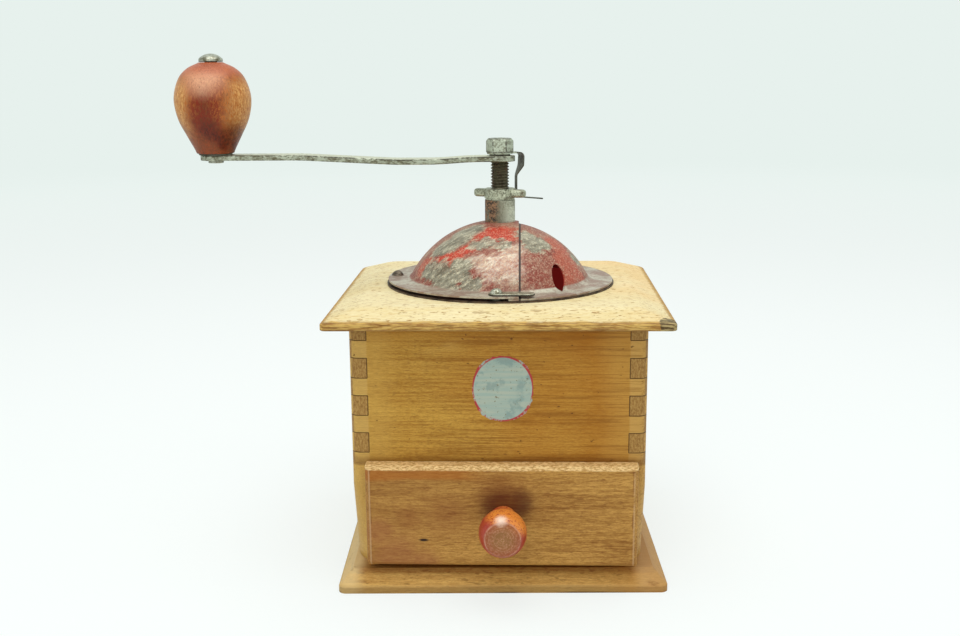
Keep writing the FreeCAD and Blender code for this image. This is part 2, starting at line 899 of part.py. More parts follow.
def adjusting_plate():
    """The nut that sets the grind: a round hub with two wings and notches round its upper rim."""
    hub = post(plate_radius, plate_bottom, plate_top)
    wing_bottom = plate_bottom + wing_rise
    wings = obround(2 * wing_radius, wing_width, wing_height, 0, 0, wing_bottom)
    rims = [e for e in wings.Edges if abs(e.BoundBox.ZLength) < wing_height / 2]
    wings = wings.makeFillet(wing_round, rims)
    notches = []
    for k in range(notch_count):
        angle = 360 * (k + 0.5) / notch_count
        start = Vector(*polar(plate_radius - notch_length / 2, angle), plate_top)
        notches.append(Part.makeCylinder(notch_radius, notch_length, start, Vector(*polar(1, angle), 0)))
    bore = post(shaft_radius + running_gap, plate_bottom - BEYOND, plate_top + BEYOND)
    hub = hub.cut(Part.makeCompound(notches))
    return hub.fuse(turned(wings, wing_angle)).removeSplitter().cut(bore)


# Crank


def crank_arm():
    """A flat bar with a round eye at each end and a low boss under the nut.

    It is an S-bend seen from the side, cut to its outline from above.
    """
    dip = arm_bottom - arm_dip
    bends = [
        (-arm_length - arm_eye_radius - BEYOND, knob_arm_bottom),
        (-arm_climb_end, knob_arm_bottom, arm_bend_radius),
        (-arm_dip_end, dip, arm_bend_radius),
        (-arm_dip_start, dip, arm_bend_radius),
        (-arm_flat, arm_bottom, arm_bend_radius),
        (arm_eye_radius + BEYOND, arm_bottom),
    ]
    path = rounded_path(bends[0], bends[1:-1], bends[-1])
    section = path.makeOffset2D(arm_thickness, join=0, fill=True, openResult=True)
    section.translate(Vector(0, -arm_eye_radius, 0))
    strip = section.extrude(Vector(0, 2 * arm_eye_radius, 0))
    z0 = dip - BEYOND
    z1 = knob_arm_top + BEYOND
    outline = post(arm_eye_radius, z0, z1).fuse([
        box(-arm_length, 0, -arm_width / 2, arm_width / 2, z0, z1),
        post(arm_eye_radius, z0, z1, -arm_length),
    ])
    boss = post(arm_boss_radius, arm_top - arm_thickness / 2, leaf_bottom)
    arm = strip.common(outline).fuse(boss)
    return arm.cut(square_post(arm_square, z0, z1)).cut(post(pin_radius, z0, z1, -arm_length))


def crank_nut():
    """A hexagon nut, its corners chamfered at the top."""
    corner = nut_flats / math.sqrt(3)
    points = [Vector(*polar(corner, 60 * k), leaf_top) for k in range(7)]
    prism = Part.Face(Part.makePolygon(points)).extrude(Vector(0, 0, nut_height))
    shoulder = nut_top - nut_chamfer
    turned_top = post(corner, leaf_top, shoulder).fuse(
        taper(corner, corner - nut_chamfer_run, shoulder, nut_top)
    )
    return prism.common(turned_top).cut(post(thread_end_radius, leaf_top - BEYOND, nut_top + BEYOND))


def leaf_clamp():
    """The end of the leaf spring that the nut holds down on the arm's boss."""
    plate = post(leaf_clamp_radius, leaf_bottom, leaf_top)
    neck = box(0, leaf_reach - leaf_split, -leaf_width / 2, leaf_width / 2, leaf_bottom, leaf_top)
    return plate.fuse(turned(neck, leaf_angle)).removeSplitter().cut(square_post(arm_square, leaf_bottom, leaf_top))


def leaf_spring():
    """The free stretch of the leaf: over the arm's end, down past the plate, out to the finger tab.

    It is widest at its bulge and narrow at its waist.
    """
    bulge = arm_eye_radius + leaf_bulge
    waist = plate_radius + leaf_waist_gap
    foot = plate_bottom - leaf_waist_end
    bends = [
        (bulge, leaf_bottom, leaf_shoulder_radius),
        (bulge - leaf_bulge_lean, arm_top - leaf_bulge_drop, leaf_bulge_radius),
        (waist, arm_top - leaf_waist_drop, leaf_waist_radius),
        (waist, foot, leaf_tab_radius),
    ]
    inner_face = rounded_path((leaf_reach, leaf_bottom), bends, (waist + leaf_tab_length, foot - leaf_tab_drop))
    section = inner_face.makeOffset2D(leaf_thickness, join=0, fill=True, openResult=True)
    section.translate(Vector(0, -leaf_bulge_width / 2, 0))
    strip = section.extrude(Vector(0, leaf_bulge_width, 0))
    widths = [
        (leaf_top + BEYOND, leaf_width),
        (arm_top - leaf_bulge_drop / 3, leaf_bulge_width),
        (arm_top - leaf_bulge_drop, leaf_bulge_width),
        (arm_top - leaf_waist_drop, leaf_waist_width),
        (foot, leaf_waist_width),
        (foot - leaf_tab_drop - BEYOND, leaf_tab_width),
    ]
    side = [Vector(0, width / 2, z) for z, width in widths]
    outline = Part.makePolygon(side + [Vector(0, -p.y, p.z) for p in reversed(side)] + side[:1])
    strip = strip.common(Part.Face(outline).extrude(Vector(waist + 2 * leaf_tab_length, 0, 0)))
    return turned(strip, leaf_angle)


# Crank knob


def crank_knob():
    """A pear-shaped turned knob, widest above its middle, bored for the pin."""
    stations = [
        (knob_foot_radius, 0.0),
        (0.55 * knob_radius, 0.06),
        (0.695 * knob_radius, 0.18),
        (0.92 * knob_radius, 0.385),
        (knob_radius, 0.61),
        (0.87 * knob_radius, 0.815),
        (0.64 * knob_radius, 0.93),
        (knob_crown_radius, 1.0),
    ]
    side = spline([(r, 0, share * knob_height) for r, share in stations])
    edges = [
        line((0, 0, 0), (knob_foot_radius, 0, 0)),
        side,
        line((knob_crown_radius, 0, knob_height), (0, 0, knob_height)),
        line((0, 0, knob_height), (0, 0, 0)),
    ]
    knob = lathe(edges)
    knob.translate(Vector(-arm_length, 0, knob_bottom))
    return knob.cut(post(pin_radius + running_gap, knob_bottom - BEYOND, knob_top + BEYOND, -arm_length))


def knob_pin():
    """The rivet that the knob turns on: peened under the arm, with a rimmed, domed cap above the knob."""
    x = -arm_length
    cap_base = knob_top + knob_gap
    shank = post(pin_radius, knob_arm_bottom - pin_tail_height / 2, cap_base + pin_cap_rim / 2, x)
    rim = post(pin_cap_radius, cap_base, cap_base + pin_cap_rim, x)
    head = cap(pin_cap_radius, pin_cap_height, cap_base + pin_cap_rim, x)
    tail = post(pin_tail_radius, knob_arm_bottom - pin_tail_height, knob_arm_bottom, x)
    return shank.fuse([rim, head, tail]).removeSplitter()


def knob_washer():
    """The washer between the arm's eye and the knob."""
    ring = post(knob_washer_radius, knob_arm_top, knob_arm_top + knob_washer_height, -arm_length)
    return ring.cut(post(pin_radius, knob_arm_top, knob_arm_top + knob_washer_height, -arm_length))


def main():
    os.makedirs("parts", exist_ok=True)

    blank = case_blank()
    screws = base_screws()
    save("base_board", base_board(screws))
    save("base_screws", screws.cut(screw_slots()))
    save("side_board_left", side_board(-1, blank, screws))
    save("side_board_right", side_board(1, blank, screws))
    save("front_board", cross_board(-1, front_board_bottom, blank))
    save("back_board", cross_board(1, base_thickness, blank))

    flange_screws = shell_screws()
    countersunk = ring_screws()
    save("top_board", top_board().cut(flange_screws).cut(countersunk))

    floor = drawer_floor_panel(groove_depth)
    save("drawer_front", across(drawer_front()))
    save("drawer_side_left", across(drawer_side(-1, floor)))
    save("drawer_side_right", across(drawer_side(1, floor)))
    save("drawer_back", across(drawer_back(floor)))
    save("drawer_bottom", across(floor))
    save("drawer_knob", across(drawer_knob()))
    save("drawer_knob_screw", across(drawer_knob_screw()))

    rivet = clip_rivet()
    bolts = burr_bolts()
    save("hopper_shell", hopper_shell(Part.makeCompound([flange_screws, rivet])))
    save("hopper_shutter", hopper_shutter())
    save("hopper_funnel", hopper_funnel(Part.makeCompound([flange_screws, countersunk, bolts])))
    save("ring_screws", countersunk)
    save("shell_screws", flange_screws)
    save("screw_spacers", screw_spacers())
    save("front_clip", clip(-1, flange_screws))
    save("rear_clip", clip(1, rivet))
    save("clip_rivet", rivet)
    save("shaft_collar", shaft_collar())

    holders = bridge_screws()
    save("burr_ring", burr_ring(Part.makeCompound([bolts, holders])))
    save("burr_bolts", bolts)
    save("burr_cone", burr_cone())
    save("bottom_bridge", bottom_bridge(holders))
    save("bridge_screws", holders)

    pin = cone_pin()
    save("spindle", spindle(pin))
    save("cone_pin", pin)
    save("thrust_washer", thrust_washer())
    save("adjusting_plate", adjusting_plate())

    save("crank_arm", crank_arm())
    save("crank_nut", crank_nut())
    save("leaf_clamp", leaf_clamp())
    save("leaf_spring", leaf_spring())
    save("crank_knob", crank_knob())
    save("knob_pin", knob_pin())
    save("knob_washer", knob_washer())


main()
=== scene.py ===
import math

import bmesh
import bpy
import numpy as np
from bpy.props import FloatProperty, FloatVectorProperty, PointerProperty
from mathutils import Matrix, Vector


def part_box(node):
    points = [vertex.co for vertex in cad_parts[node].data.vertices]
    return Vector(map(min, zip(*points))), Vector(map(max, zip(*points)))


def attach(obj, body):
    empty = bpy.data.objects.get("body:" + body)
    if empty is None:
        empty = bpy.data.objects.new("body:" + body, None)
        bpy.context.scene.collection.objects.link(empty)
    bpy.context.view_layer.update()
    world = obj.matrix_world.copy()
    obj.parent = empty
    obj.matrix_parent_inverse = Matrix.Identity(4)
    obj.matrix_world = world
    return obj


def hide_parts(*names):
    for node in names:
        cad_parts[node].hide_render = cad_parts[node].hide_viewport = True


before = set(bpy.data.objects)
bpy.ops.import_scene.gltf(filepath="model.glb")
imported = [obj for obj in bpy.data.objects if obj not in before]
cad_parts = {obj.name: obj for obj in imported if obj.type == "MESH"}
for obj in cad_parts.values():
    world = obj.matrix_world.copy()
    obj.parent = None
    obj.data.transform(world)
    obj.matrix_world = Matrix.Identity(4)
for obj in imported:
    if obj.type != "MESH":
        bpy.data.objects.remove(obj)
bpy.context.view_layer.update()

bl_info = {
    "name": "Box Coffee Mill",
    "version": (1, 0, 0),
    "blender": (4, 5, 0),
    "location": "View3D > Sidebar > Coffee Mill",
    "description": "Dresses the frame of a wooden box mill: worn boards, a painted dome, a crank and its knob",
    "category": "Add Mesh",
}

MM = 0.001


def display(red, green, blue):
    """A colour as a screen shows it, 0 to 255 a channel, turned into the linear light that shaders use."""
    return tuple((v / 255 / 12.92) if v < 10.3 else ((v / 255 + 0.055) / 1.055) ** 2.4 for v in (red, green, blue))


def size(name, value, text):
    """A length in millimetres that a user may change."""
    return FloatProperty(name=name, description=text + ", in millimetres", default=value, unit="NONE", min=0.0)


def colour(name, value, text):
    """A colour that a user may change, given as a screen shows it."""
    return FloatVectorProperty(name=name, description=text, default=display(*value), subtype="COLOR", min=0.0,
                               max=1.0, size=3)


def corners(node):
    """A node's lowest and highest corners in millimetres, as two arrays."""
    low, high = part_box(node)
    return np.array(low) / MM, np.array(high) / MM


# Sizes and colours that a user would change


class WoodProperties(bpy.types.PropertyGroup):
    """Tones of the boards and how worn their edges are."""

    edge: size("Worn edge", 0.45, "Radius that wear has given the boards' edges")
    joint: size("Joint line", 0.16, "Width of the softened edges at the finger joints")
    joint_start: size("Joint start", 56.0, "Height of the lowest front tongue above the base")
    joint_pitch: size("Joint pitch", 15.1, "Height from one joint tongue to the next")
    joint_tongue: size("Joint tongue", 8.05, "Height of a joint tongue")
    joint_block: size("Joint block", 51.0, "Distance of the joint blocks from the case's middle")
    top_pale: colour("Top board", (241, 231, 190), "Bare, scrubbed wood of the top board")
    top_deep: colour("Top board, darker fibres", (226, 205, 148), "Darker fibres of the top board")
    top_flecks: colour("Top board, flecks", (158, 114, 52), "Short flecks of the top board")
    case_pale: colour("Case", (208, 163, 70), "Honey varnish of the case")
    case_deep: colour("Case, darker fibres", (144, 92, 18), "Darker fibres of the case")
    case_orange: colour("Case, deeper varnish", (160, 92, 2), "Varnish where it is thicker or stained")
    end_grain: colour("End grain", (174, 136, 74), "Ends of the joint fingers")
    end_grain_deep: colour("End grain, darker", (132, 92, 44), "Darker rings of the joint fingers")
    drawer_pale: colour("Drawer front", (205, 157, 80), "Drawer front")
    drawer_deep: colour("Drawer front, darker", (128, 80, 26), "Darker fibres of the drawer front")
    drawer_pores: colour("Drawer front, pores", (104, 56, 26), "Short flecks of the drawer front")
    base_pale: colour("Base board", (212, 170, 92), "Base board")
    base_deep: colour("Base board, darker", (148, 96, 34), "Darker fibres of the base board")
    pores: colour("Pores", (100, 60, 18), "Short dark flecks and dirt")


class HopperProperties(bpy.types.PropertyGroup):
    """The dome's sheet, its seam and its worn paint."""

    radius: size("Dome radius", 43.1, "Outer radius of the fixed half")
    centre: size("Dome centre", 97.3, "Height of the dome's centre above the base")
    sheet: size("Sheet", 0.7, "Thickness of the steel sheet")
    fillet: size("Fillet", 3.0, "Radius between the fixed half and its flange")
    seam: size("Seam", 8.0, "Distance of the seam from the spindle's axis")
    underlap: size("Underlap", 4.0, "How far the moving half runs in under the fixed one")
    paint: colour("Paint", (138, 54, 38), "Dulled red paint")
    bright_paint: colour("Bright paint", (196, 50, 22), "Red paint where it was sheltered")
    coral_paint: colour("Coral paint", (178, 78, 52), "Red paint where it has faded")
    haze: colour("Haze", (178, 138, 112), "Chalky, rubbed paint")
    bare: colour("Bare steel", (92, 98, 80), "Steel where the paint is gone")
    bare_pale: colour("Bare steel, paler", (176, 178, 156), "Paler grains of the bare steel")
    primer: colour("Scratches", (214, 205, 172), "Edges of the scratches")
    dirt: colour("Dirt", (74, 44, 30), "Dark grease and rust")


class CrankProperties(bpy.types.PropertyGroup):
    """The crank's bar, the spindle's thread and the knob."""

    bar_edge: size("Bar edge", 0.5, "Rounding of the bar's edges")
    bar_thickness: size("Bar thickness", 2.3, "Thickness of the bar at its eyes")
    boss_height: size("Boss", 0.8, "Height of the boss between the bar and the leaf spring")
    boss_radius: size("Boss radius", 4.4, "Radius of that boss")
    bar_width: size("Bar width", 10.8, "Width of the bar between its eyes")
    dip: size("Dip", 1.0, "How far the bar dips beside the spindle")
    pitch: size("Thread pitch", 1.25, "Pitch of the spindle's thread")
    thread_depth: size("Thread depth", 0.72, "Depth of the spindle's thread")
    thread_radius: size("Thread radius", 3.95, "Outer radius of the thread above the adjusting plate")
    knob_red: colour("Knob stain", (130, 40, 10), "Red-brown stain of the crank knob")
    knob_deep: colour("Knob stain, deeper", (70, 18, 4), "Darker fibres of the crank knob")
    # Painted rim light: colours that the knob's sides get where the camera sees them edge-on
    knob_rim_light: colour("Knob rim light", (236, 182, 108), "Wood of the crank knob where the stain is worn")
    knob_rim_light_deep: colour("Knob rim light, darker", (172, 104, 44), "Darker fibres of the worn wood")
    knob_low_tone: colour("Knob, lower part", (84, 36, 18), "Darker lower part of the crank knob")
    steel: colour("Steel", (178, 182, 162), "Tarnished plain steel")
    tarnish: colour("Tarnish", (104, 98, 76), "Dull spots on the steel")
    rust: colour("Rust", (96, 60, 38), "Rust")


class DrawerProperties(bpy.types.PropertyGroup):
    """The drawer's small knob and the paper label above the drawer."""

    knob_red: colour("Drawer knob paint", (156, 42, 24), "Red paint of the drawer knob")
    knob_wood: colour("Drawer knob wood", (224, 136, 54), "Wood where the knob's paint is worn")
    label_width: size("Label width", 24.0, "Width of the plain paper label")
    label_height: size("Label height", 26.5, "Height of the plain paper label")
    label_centre: size("Label centre", 82.0, "Height of the label's middle above the base")
    label_paper: colour("Label", (156, 174, 162), "Faded paper of the label")
    label_rim: colour("Label rim", (172, 62, 60), "Worn border line of the label")


class StageProperties(bpy.types.PropertyGroup):
    """Camera, floor and lamps."""

    lens: FloatProperty(name="Lens", description="Focal length for a 36 mm sensor", default=43.644, unit="CAMERA")
    camera_x: FloatProperty(name="Camera X", description="In millimetres", default=8.60)
    camera_y: FloatProperty(name="Camera Y", description="In millimetres", default=-494.14)
    camera_z: FloatProperty(name="Camera Z", description="In millimetres", default=204.42)
    yaw: FloatProperty(name="Yaw", description="Turn to the right, in radians", default=-0.0354)
    pitch: FloatProperty(name="Pitch", description="Turn downwards, in radians", default=0.2127)
    roll: FloatProperty(name="Roll", description="Turn about the view, in radians", default=-0.008)
    backdrop: colour("Backdrop", (231, 241, 237), "Pale far background")
    floor: colour("Floor", (249, 254, 252), "Pale floor")
    top_lamp: FloatProperty(name="Top lamp", description="Strength of the soft box above, in watts", default=5.2)
    world: FloatProperty(name="Room light", description="Strength of the even light all round", default=0.62)


# Surfaces

CORNER_STEPS, SIDE_STEPS = 9, 14
TOUCHING, NO_LENGTH, FLAT_WITHIN = 2e-6, 1e-7, 0.004


def surface(name, grid, around=False, ends=None, sharp=38.0):
    """A mesh over a grid of points in millimetres, shaped (rows, columns, 3), whose last column meets the first.

    Each square of four neighbouring points becomes a face. With around the last row meets the first too. Points
    that coincide are merged, so poles and seams close. Where ends is given, the first and last rows are closed
    by faces from each column to the one that mirrors it, for the columns that ends marks.
    """
    rows, columns = grid.shape[:2]
    index = np.arange(rows * columns).reshape(rows, columns)
    caps = np.zeros((0, 4), int)
    if ends is not None:
        first = np.arange(columns // 2 - 1)[ends[: columns // 2 - 1]]
        strip = np.stack([first, first + 1, columns - 2 - first, columns - 1 - first], -1)
        caps = np.concatenate([index[0][strip], index[-1][strip]])
    if around:
        index = np.vstack([index, index[:1]])
    index = np.hstack([index, index[:, :1]])
    faces = np.stack([index[:-1, :-1], index[1:, :-1], index[1:, 1:], index[:-1, 1:]], -1).reshape(-1, 4)
    mesh = bpy.data.meshes.new(name)
    mesh.from_pydata((grid.reshape(-1, 3) * MM).tolist(), [], np.concatenate([faces, caps]).tolist())
    return settled(mesh, sharp)


def settled(mesh, sharp=38.0):
    """Merges a mesh's doubles, turns its faces outwards and smooths all but its sharp edges."""
    work = bmesh.new()
    work.from_mesh(mesh)
    bmesh.ops.remove_doubles(work, verts=work.verts, dist=TOUCHING)
    bmesh.ops.dissolve_degenerate(work, edges=work.edges, dist=NO_LENGTH)
    bmesh.ops.recalc_face_normals(work, faces=work.faces)
    work.to_mesh(mesh)
    work.free()
    return smoothed(mesh, sharp)


def smoothed(mesh, sharp):
    mesh.polygons.foreach_set("use_smooth", np.ones(len(mesh.polygons), bool))
    mesh.set_sharp_from_angle(angle=math.radians(sharp))
    return mesh


def piece(name, mesh, body, finish, *stands_for):
    """An object for a mesh: it rides on a body, wears a finish and may stand for CAD nodes."""
    thing = bpy.data.objects.new(name, mesh)
    bpy.context.scene.collection.objects.link(thing)
    mesh.materials.clear()
    mesh.materials.append(finish)
    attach(thing, body)
    if stands_for:
        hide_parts(*stands_for)
    return thing


def soft_piece(node, width, body, finish, sharp=32.0):
    """A piece for a node: its own mesh, merged and with its flat faces whole, whose sharp edges a bevel rounds."""
    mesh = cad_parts[node].data.copy()
    work = bmesh.new()
    work.from_mesh(mesh)
    bmesh.ops.remove_doubles(work, verts=work.verts, dist=TOUCHING)
    bmesh.ops.dissolve_limit(work, angle_limit=FLAT_WITHIN, verts=work.verts, edges=work.edges)
    work.to_mesh(mesh)
    work.free()
    smoothed(mesh, sharp)
    if mesh.has_custom_normals:
        mesh.normals_split_custom_set([(0, 0, 0)] * len(mesh.loops))
    bevel = piece(node + "_worn", mesh, body, finish, node).modifiers.new("soft edge", "BEVEL")
    bevel.width = width * MM
    bevel.segments = 2
    bevel.limit_method = "ANGLE"
    bevel.angle_limit = math.radians(sharp)


def put_on(finish, *nodes):
    """Gives CAD nodes a finish."""
    for node in nodes:
        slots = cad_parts[node].data.materials
        slots.clear()
        slots.append(finish)


def points_of(*axes):
    """Points from their coordinates, which are spread to one shape first."""
    return np.stack(np.broadcast_arrays(*axes), -1)


def vertices(mesh):
    """A mesh's vertices in millimetres."""
    points = np.zeros(len(mesh.vertices) * 3)
    mesh.vertices.foreach_get("co", points)
    return points.reshape(-1, 3) / MM


def mark(mesh, name, values):
    """Stores a number for each vertex, which a finish reads by its name."""
    mesh.attributes.new(name, "FLOAT", "POINT").data.foreach_set("value", values)


def rounded_line(points, radii, steps):
    """A path in the plane whose inner corners are tangent arcs.

    Where the unit directions a and b meet under the turn w, the arc of radius r starts r tan(w / 2) before the
    corner and runs start + r (sin t) a + r (1 - cos t) n for t from 0 to w, where n is b's part square to a.
    """
    points = np.asarray(points, float)
    out = [points[:1]]
    for corner, before, after, radius in zip(points[1:-1], points[:-2], points[2:], radii):
        a = (corner - before) / np.linalg.norm(corner - before)
        b = (after - corner) / np.linalg.norm(after - corner)
        turn = math.acos(np.clip(a @ b, -1, 1))
        normal = (b - (a @ b) * a) / math.sin(turn)
        start = corner - a * radius * math.tan(turn / 2)
        t = np.linspace(0, turn, steps)[:, None]
        out.append(start + radius * np.sin(t) * a + radius * (1 - np.cos(t)) * normal)
    out.append(points[-1:])
    return np.vstack(out)


def swept_line(stations, steps):
    """A smooth path through stations: cubic pieces whose slope at a station is half the step across it."""
    p = np.asarray(stations, float)
    slope = np.vstack([p[1:2] - p[:1], (p[2:] - p[:-2]) / 2, p[-1:] - p[-2:-1]])
    t = np.linspace(0, 1, steps, endpoint=False)[None, :, None]
    p0, p1, m0, m1 = (v[:, None] for v in (p[:-1], p[1:], slope[:-1], slope[1:]))
    run = (2 * t**3 - 3 * t**2 + 1) * p0 + (t**3 - 2 * t**2 + t) * m0
    run = run + (3 * t**2 - 2 * t**3) * p1 + (t**3 - t**2) * m1
    return np.vstack([run.reshape(-1, 2), p[-1:]])


def turned(profile, steps=96):
    """A lathe's grid: each (radius, height) of the profile goes round the Z axis at even angles."""
    angle = np.linspace(0, 2 * math.pi, steps, endpoint=False)
    radius, height = np.asarray(profile, float).T[..., None]
    return points_of(radius * np.cos(angle), radius * np.sin(angle), height)


def rounded_square(half, front, back):
    """Points round rounded squares, for arrays of half sizes and of the radii of the front and back corners.

    Each corner is centre + r (cos t, sin t) over a quarter turn, and even steps join the corners. The result is
    shaped (stations, points, 2).
    """
    quarters = []
    for turn, (side_x, side_y) in enumerate([(1, 1), (-1, 1), (-1, -1), (1, -1)]):
        radius = (back if side_y > 0 else front)[:, None]
        angle = np.linspace(0, math.pi / 2, CORNER_STEPS) + turn * math.pi / 2
        reach = half[:, None] - radius
        quarters.append(np.stack([side_x * reach + radius * np.cos(angle),
                                  side_y * reach + radius * np.sin(angle)], -1))
    share = np.linspace(0, 1, SIDE_STEPS + 2)[1:-1][None, :, None]
    ring = []
    for quarter, following in zip(quarters, quarters[1:] + quarters[:1]):
        start, end = quarter[:, -1:], following[:, :1]
        ring += [quarter, start + (end - start) * share]
    return np.concatenate(ring, axis=1)


def board(stations, half, front, back, hole, hole_share):
    """A square board as a closed profile of (inset, height) stations, carried round a rounded square.

    A station at inset d lies on the square drawn in by d, whose corner radii shrink with it, and with a share w
    it moves w of the way to the same direction on the circle of the hole.
    """
    inset, height = np.asarray(stations, float).T
    fade, least = 26, 0.35
    shrink = np.clip(1 - inset / fade, least, 1)
    ring = rounded_square(half - inset, front * shrink, back * shrink)
    share = hole_share[:, None, None]
    ring = ring * (1 - share) + ring / np.linalg.norm(ring, axis=2, keepdims=True) * hole * share
    return points_of(ring[..., 0], ring[..., 1], height[:, None])


# Finishes. Lengths along the axes are metres in the shader; past and near take theirs in millimetres


class Signal:
    """A shader socket that can stand in a formula: each operator adds one Math node."""

    def __init__(self, finish, socket):
        self.finish = finish
        self.socket = socket

    def math(self, operation, *values):
        return self.finish.add("ShaderNodeMath", {"operation": operation}, values)

    def __add__(self, other):
        return self.math("ADD", self, other)

    def __sub__(self, other):
        return self.math("SUBTRACT", self, other)

    def __rsub__(self, other):
        return self.math("SUBTRACT", other, self)

    def __mul__(self, other):
        return self.math("MULTIPLY", self, other)

    def __abs__(self):
        return self.math("ABSOLUTE", self)

    def largest(self, other):
        return self.math("MAXIMUM", self, other)

    def smallest(self, other):
        return self.math("MINIMUM", self, other)

    def repeat(self, step):
        """The rest after whole steps, always from 0 up."""
        return self.math("FLOORED_MODULO", self, step)

    def rise(self, low, high):
        """A smooth step: 0 below low, 1 above high, or the other way round if high is the lower."""
        values = {"Value": self, "From Min": low, "From Max": high}
        return self.finish.add("ShaderNodeMapRange", {"interpolation_type": "SMOOTHSTEP"}, values)

    def past(self, low, high):
        """The smooth step of a length, between two of millimetres."""
        return self.rise(low * MM, high * MM)

    def near(self, place, far, close):
        """1 within close of a place and 0 from far on, all in millimetres."""
        return abs(self - place * MM).past(far, close)


class Finish:
    """A material whose nodes are added by name, with their settings first and then their sockets.

    Its tone is what stains are laid over until close connects it.
    """

    def __init__(self, name, specular=0.5):
        self.material = bpy.data.materials.new(name)
        self.material.use_nodes = True
        self.tree = self.material.node_tree
        self.shader = self.tree.nodes["Principled BSDF"]
        self.give(specular_IOR_level=specular)
        self.where = self.add("ShaderNodeTexCoord", {}, {}, "Object")
        self.tone = None

    def add(self, kind, settings, values, output=0):
        """One node: its settings are set, its sockets fed, and the signal of one output is returned."""
        node = self.tree.nodes.new(kind)
        for name, value in settings.items():
            setattr(node, name, value)
        pairs = values.items() if isinstance(values, dict) else enumerate(values)
        for key, value in pairs:
            self.feed(node.inputs[key], value)
        return Signal(self, node.outputs[output])

    def feed(self, socket, value):
        """Links a signal or sets a value. A tuple for a colour is one as a screen shows it."""
        if isinstance(value, Signal):
            self.tree.links.new(value.socket, socket)
        elif socket.type == "RGBA":
            socket.default_value = (*(display(*value) if isinstance(value, tuple) else value), 1)
        else:
            socket.default_value = value

    def give(self, **values):
        """Feeds the shader's own sockets, each named with low lines for the gaps between its words."""
        for key, value in values.items():
            words = [word if word.isupper() else word.title() for word in key.split("_")]
            self.feed(self.shader.inputs[" ".join(words)], value)

    def axes(self):
        place = self.add("ShaderNodeSeparateXYZ", {}, [self.where]).socket.node
        return [Signal(self, output) for output in place.outputs]

    def stretch(self, x, y, z, at=None, turn=(0, 0, 0)):
        """The place along axes turned by three angles, each scaled: patterns draw out along the smaller numbers."""
        values = {"Vector": at or self.where, "Scale": (1 / x, 1 / y, 1 / z), "Rotation": turn}
        return self.add("ShaderNodeMapping", {"vector_type": "TEXTURE"}, values)

    def noise(self, size, detail=3.0, rough=0.55, bend=0.0, output=0):
        """Noise at a scale, at three scales along the axes, or at a place that is scaled already."""
        at, scale = (self.where, size) if isinstance(size, (int, float)) else (size, 1.0)
        if isinstance(size, tuple):
            at = self.stretch(*size)
        values = {"Vector": at, "Scale": scale, "Detail": detail, "Roughness": rough, "Distortion": bend}
        return self.add("ShaderNodeTexNoise", {}, values, output)

    def grains(self, coarse, fine):
        """The clouds and the fine grains of old metal, and a mix of both."""
        cloud, grain = self.noise(coarse, 5, 0.65), self.noise(fine, 3, 0.6)
        return cloud, grain, cloud * 0.6 + grain * 0.4

    def attribute(self, name):
        return self.add("ShaderNodeAttribute", {"attribute_name": name}, {}, "Fac")

    def blend(self, share, first, second):
        """The colour between two, by a share."""
        return self.add("ShaderNodeMix", {"data_type": "RGBA"}, {0: share, 6: first, 7: second}, 2)

    def vector(self, operation, *values, output=0):
        return self.add("ShaderNodeVectorMath", {"operation": operation}, values, output)

    def length(self, x, y, z):
        """The length of a vector given by its parts."""
        return self.vector("LENGTH", self.add("ShaderNodeCombineXYZ", {}, [x, y, z]), output="Value")

    def ragged(self, *pushes):
        """The place pushed about by coloured noise, so that what is laid out on it gets a torn outline.

        Each push is the noise's size, its detail and the reach of the push in millimetres.
        """
        place = self.where
        for size, detail, reach in pushes:
            push = self.noise(size, detail, 0.68, output="Color")
            middle = self.vector("SUBTRACT", place, (reach * MM,) * 3)
            place = self.vector("MULTIPLY_ADD", push, (2 * reach * MM,) * 3, middle)
        return place

    def spots(self, at, *spots):
        """The strongest of several spots, each 1 at its middle and 0 at its reach, given in millimetres."""
        best = None
        for x, y, z, reach in spots:
            apart = self.vector("DISTANCE", at, (x * MM, y * MM, z * MM), output="Value")
            spot = apart.past(reach, 0.0)
            best = best.largest(spot) if best else spot
        return best

    def stain(self, share, tone):
        """Lays a colour over the tone, by a share."""
        self.tone = self.blend(share, self.tone, tone)

    def close(self, height, strength, depth, **values):
        """Connects the tone, a bump of a height and a depth in millimetres, and what else the shader is given."""
        bump = self.add("ShaderNodeBump", {}, {"Strength": strength, "Distance": depth * MM, "Height": height})
        self.give(base_color=self.tone, normal=bump, **values)
        return self.material


class Wood(Finish):
    """Beech: broad tones drift along the fibres, fine lines and short dashes run with them, pores lie between."""

    def __init__(self, name, pale, deep, pores, along="X", flecks=0.5, weights=(0.4, 0.3, 0.3), size=1.0,
                 grit=0.22):
        super().__init__(name, specular=0.18)
        self.along = "XYZ".index(along)
        drift = self.noise(self.fibres(13, 85), 3)
        self.line = self.noise(self.fibres(30, 700 / size), 4, 0.65, bend=0.4)
        self.dash = self.noise(self.fibres(210 / size, 1500 / size), 3, 0.6)
        self.pore = self.noise(self.fibres(230 / size, 720 / size), 2, 0.5).rise(0.6, 0.68) * flecks
        broad, line, dash = weights
        share = drift.rise(0.3, 0.7) * broad + self.line.rise(0.32, 0.68) * line
        self.tone = self.blend(share + self.dash.rise(0.36, 0.64) * dash, pale, deep)
        self.stain(self.pore, pores)
        self.stain(self.noise(self.fibres(850, 2500), 2, 0.6).rise(0.48, 0.62) * grit, pores)

    def fibres(self, along, across):
        scale = [across, across, across]
        scale[self.along] = along
        return self.stretch(*scale)

    def varnish(self, roughness):
        """Closes the finish: its roughness follows the fibres, and lines and pores make the bump."""
        height = self.line * 0.5 + self.dash * 0.3 - self.pore * 0.8
        return self.close(height, 0.35, 0.35, roughness=self.line * 0.18 + roughness)


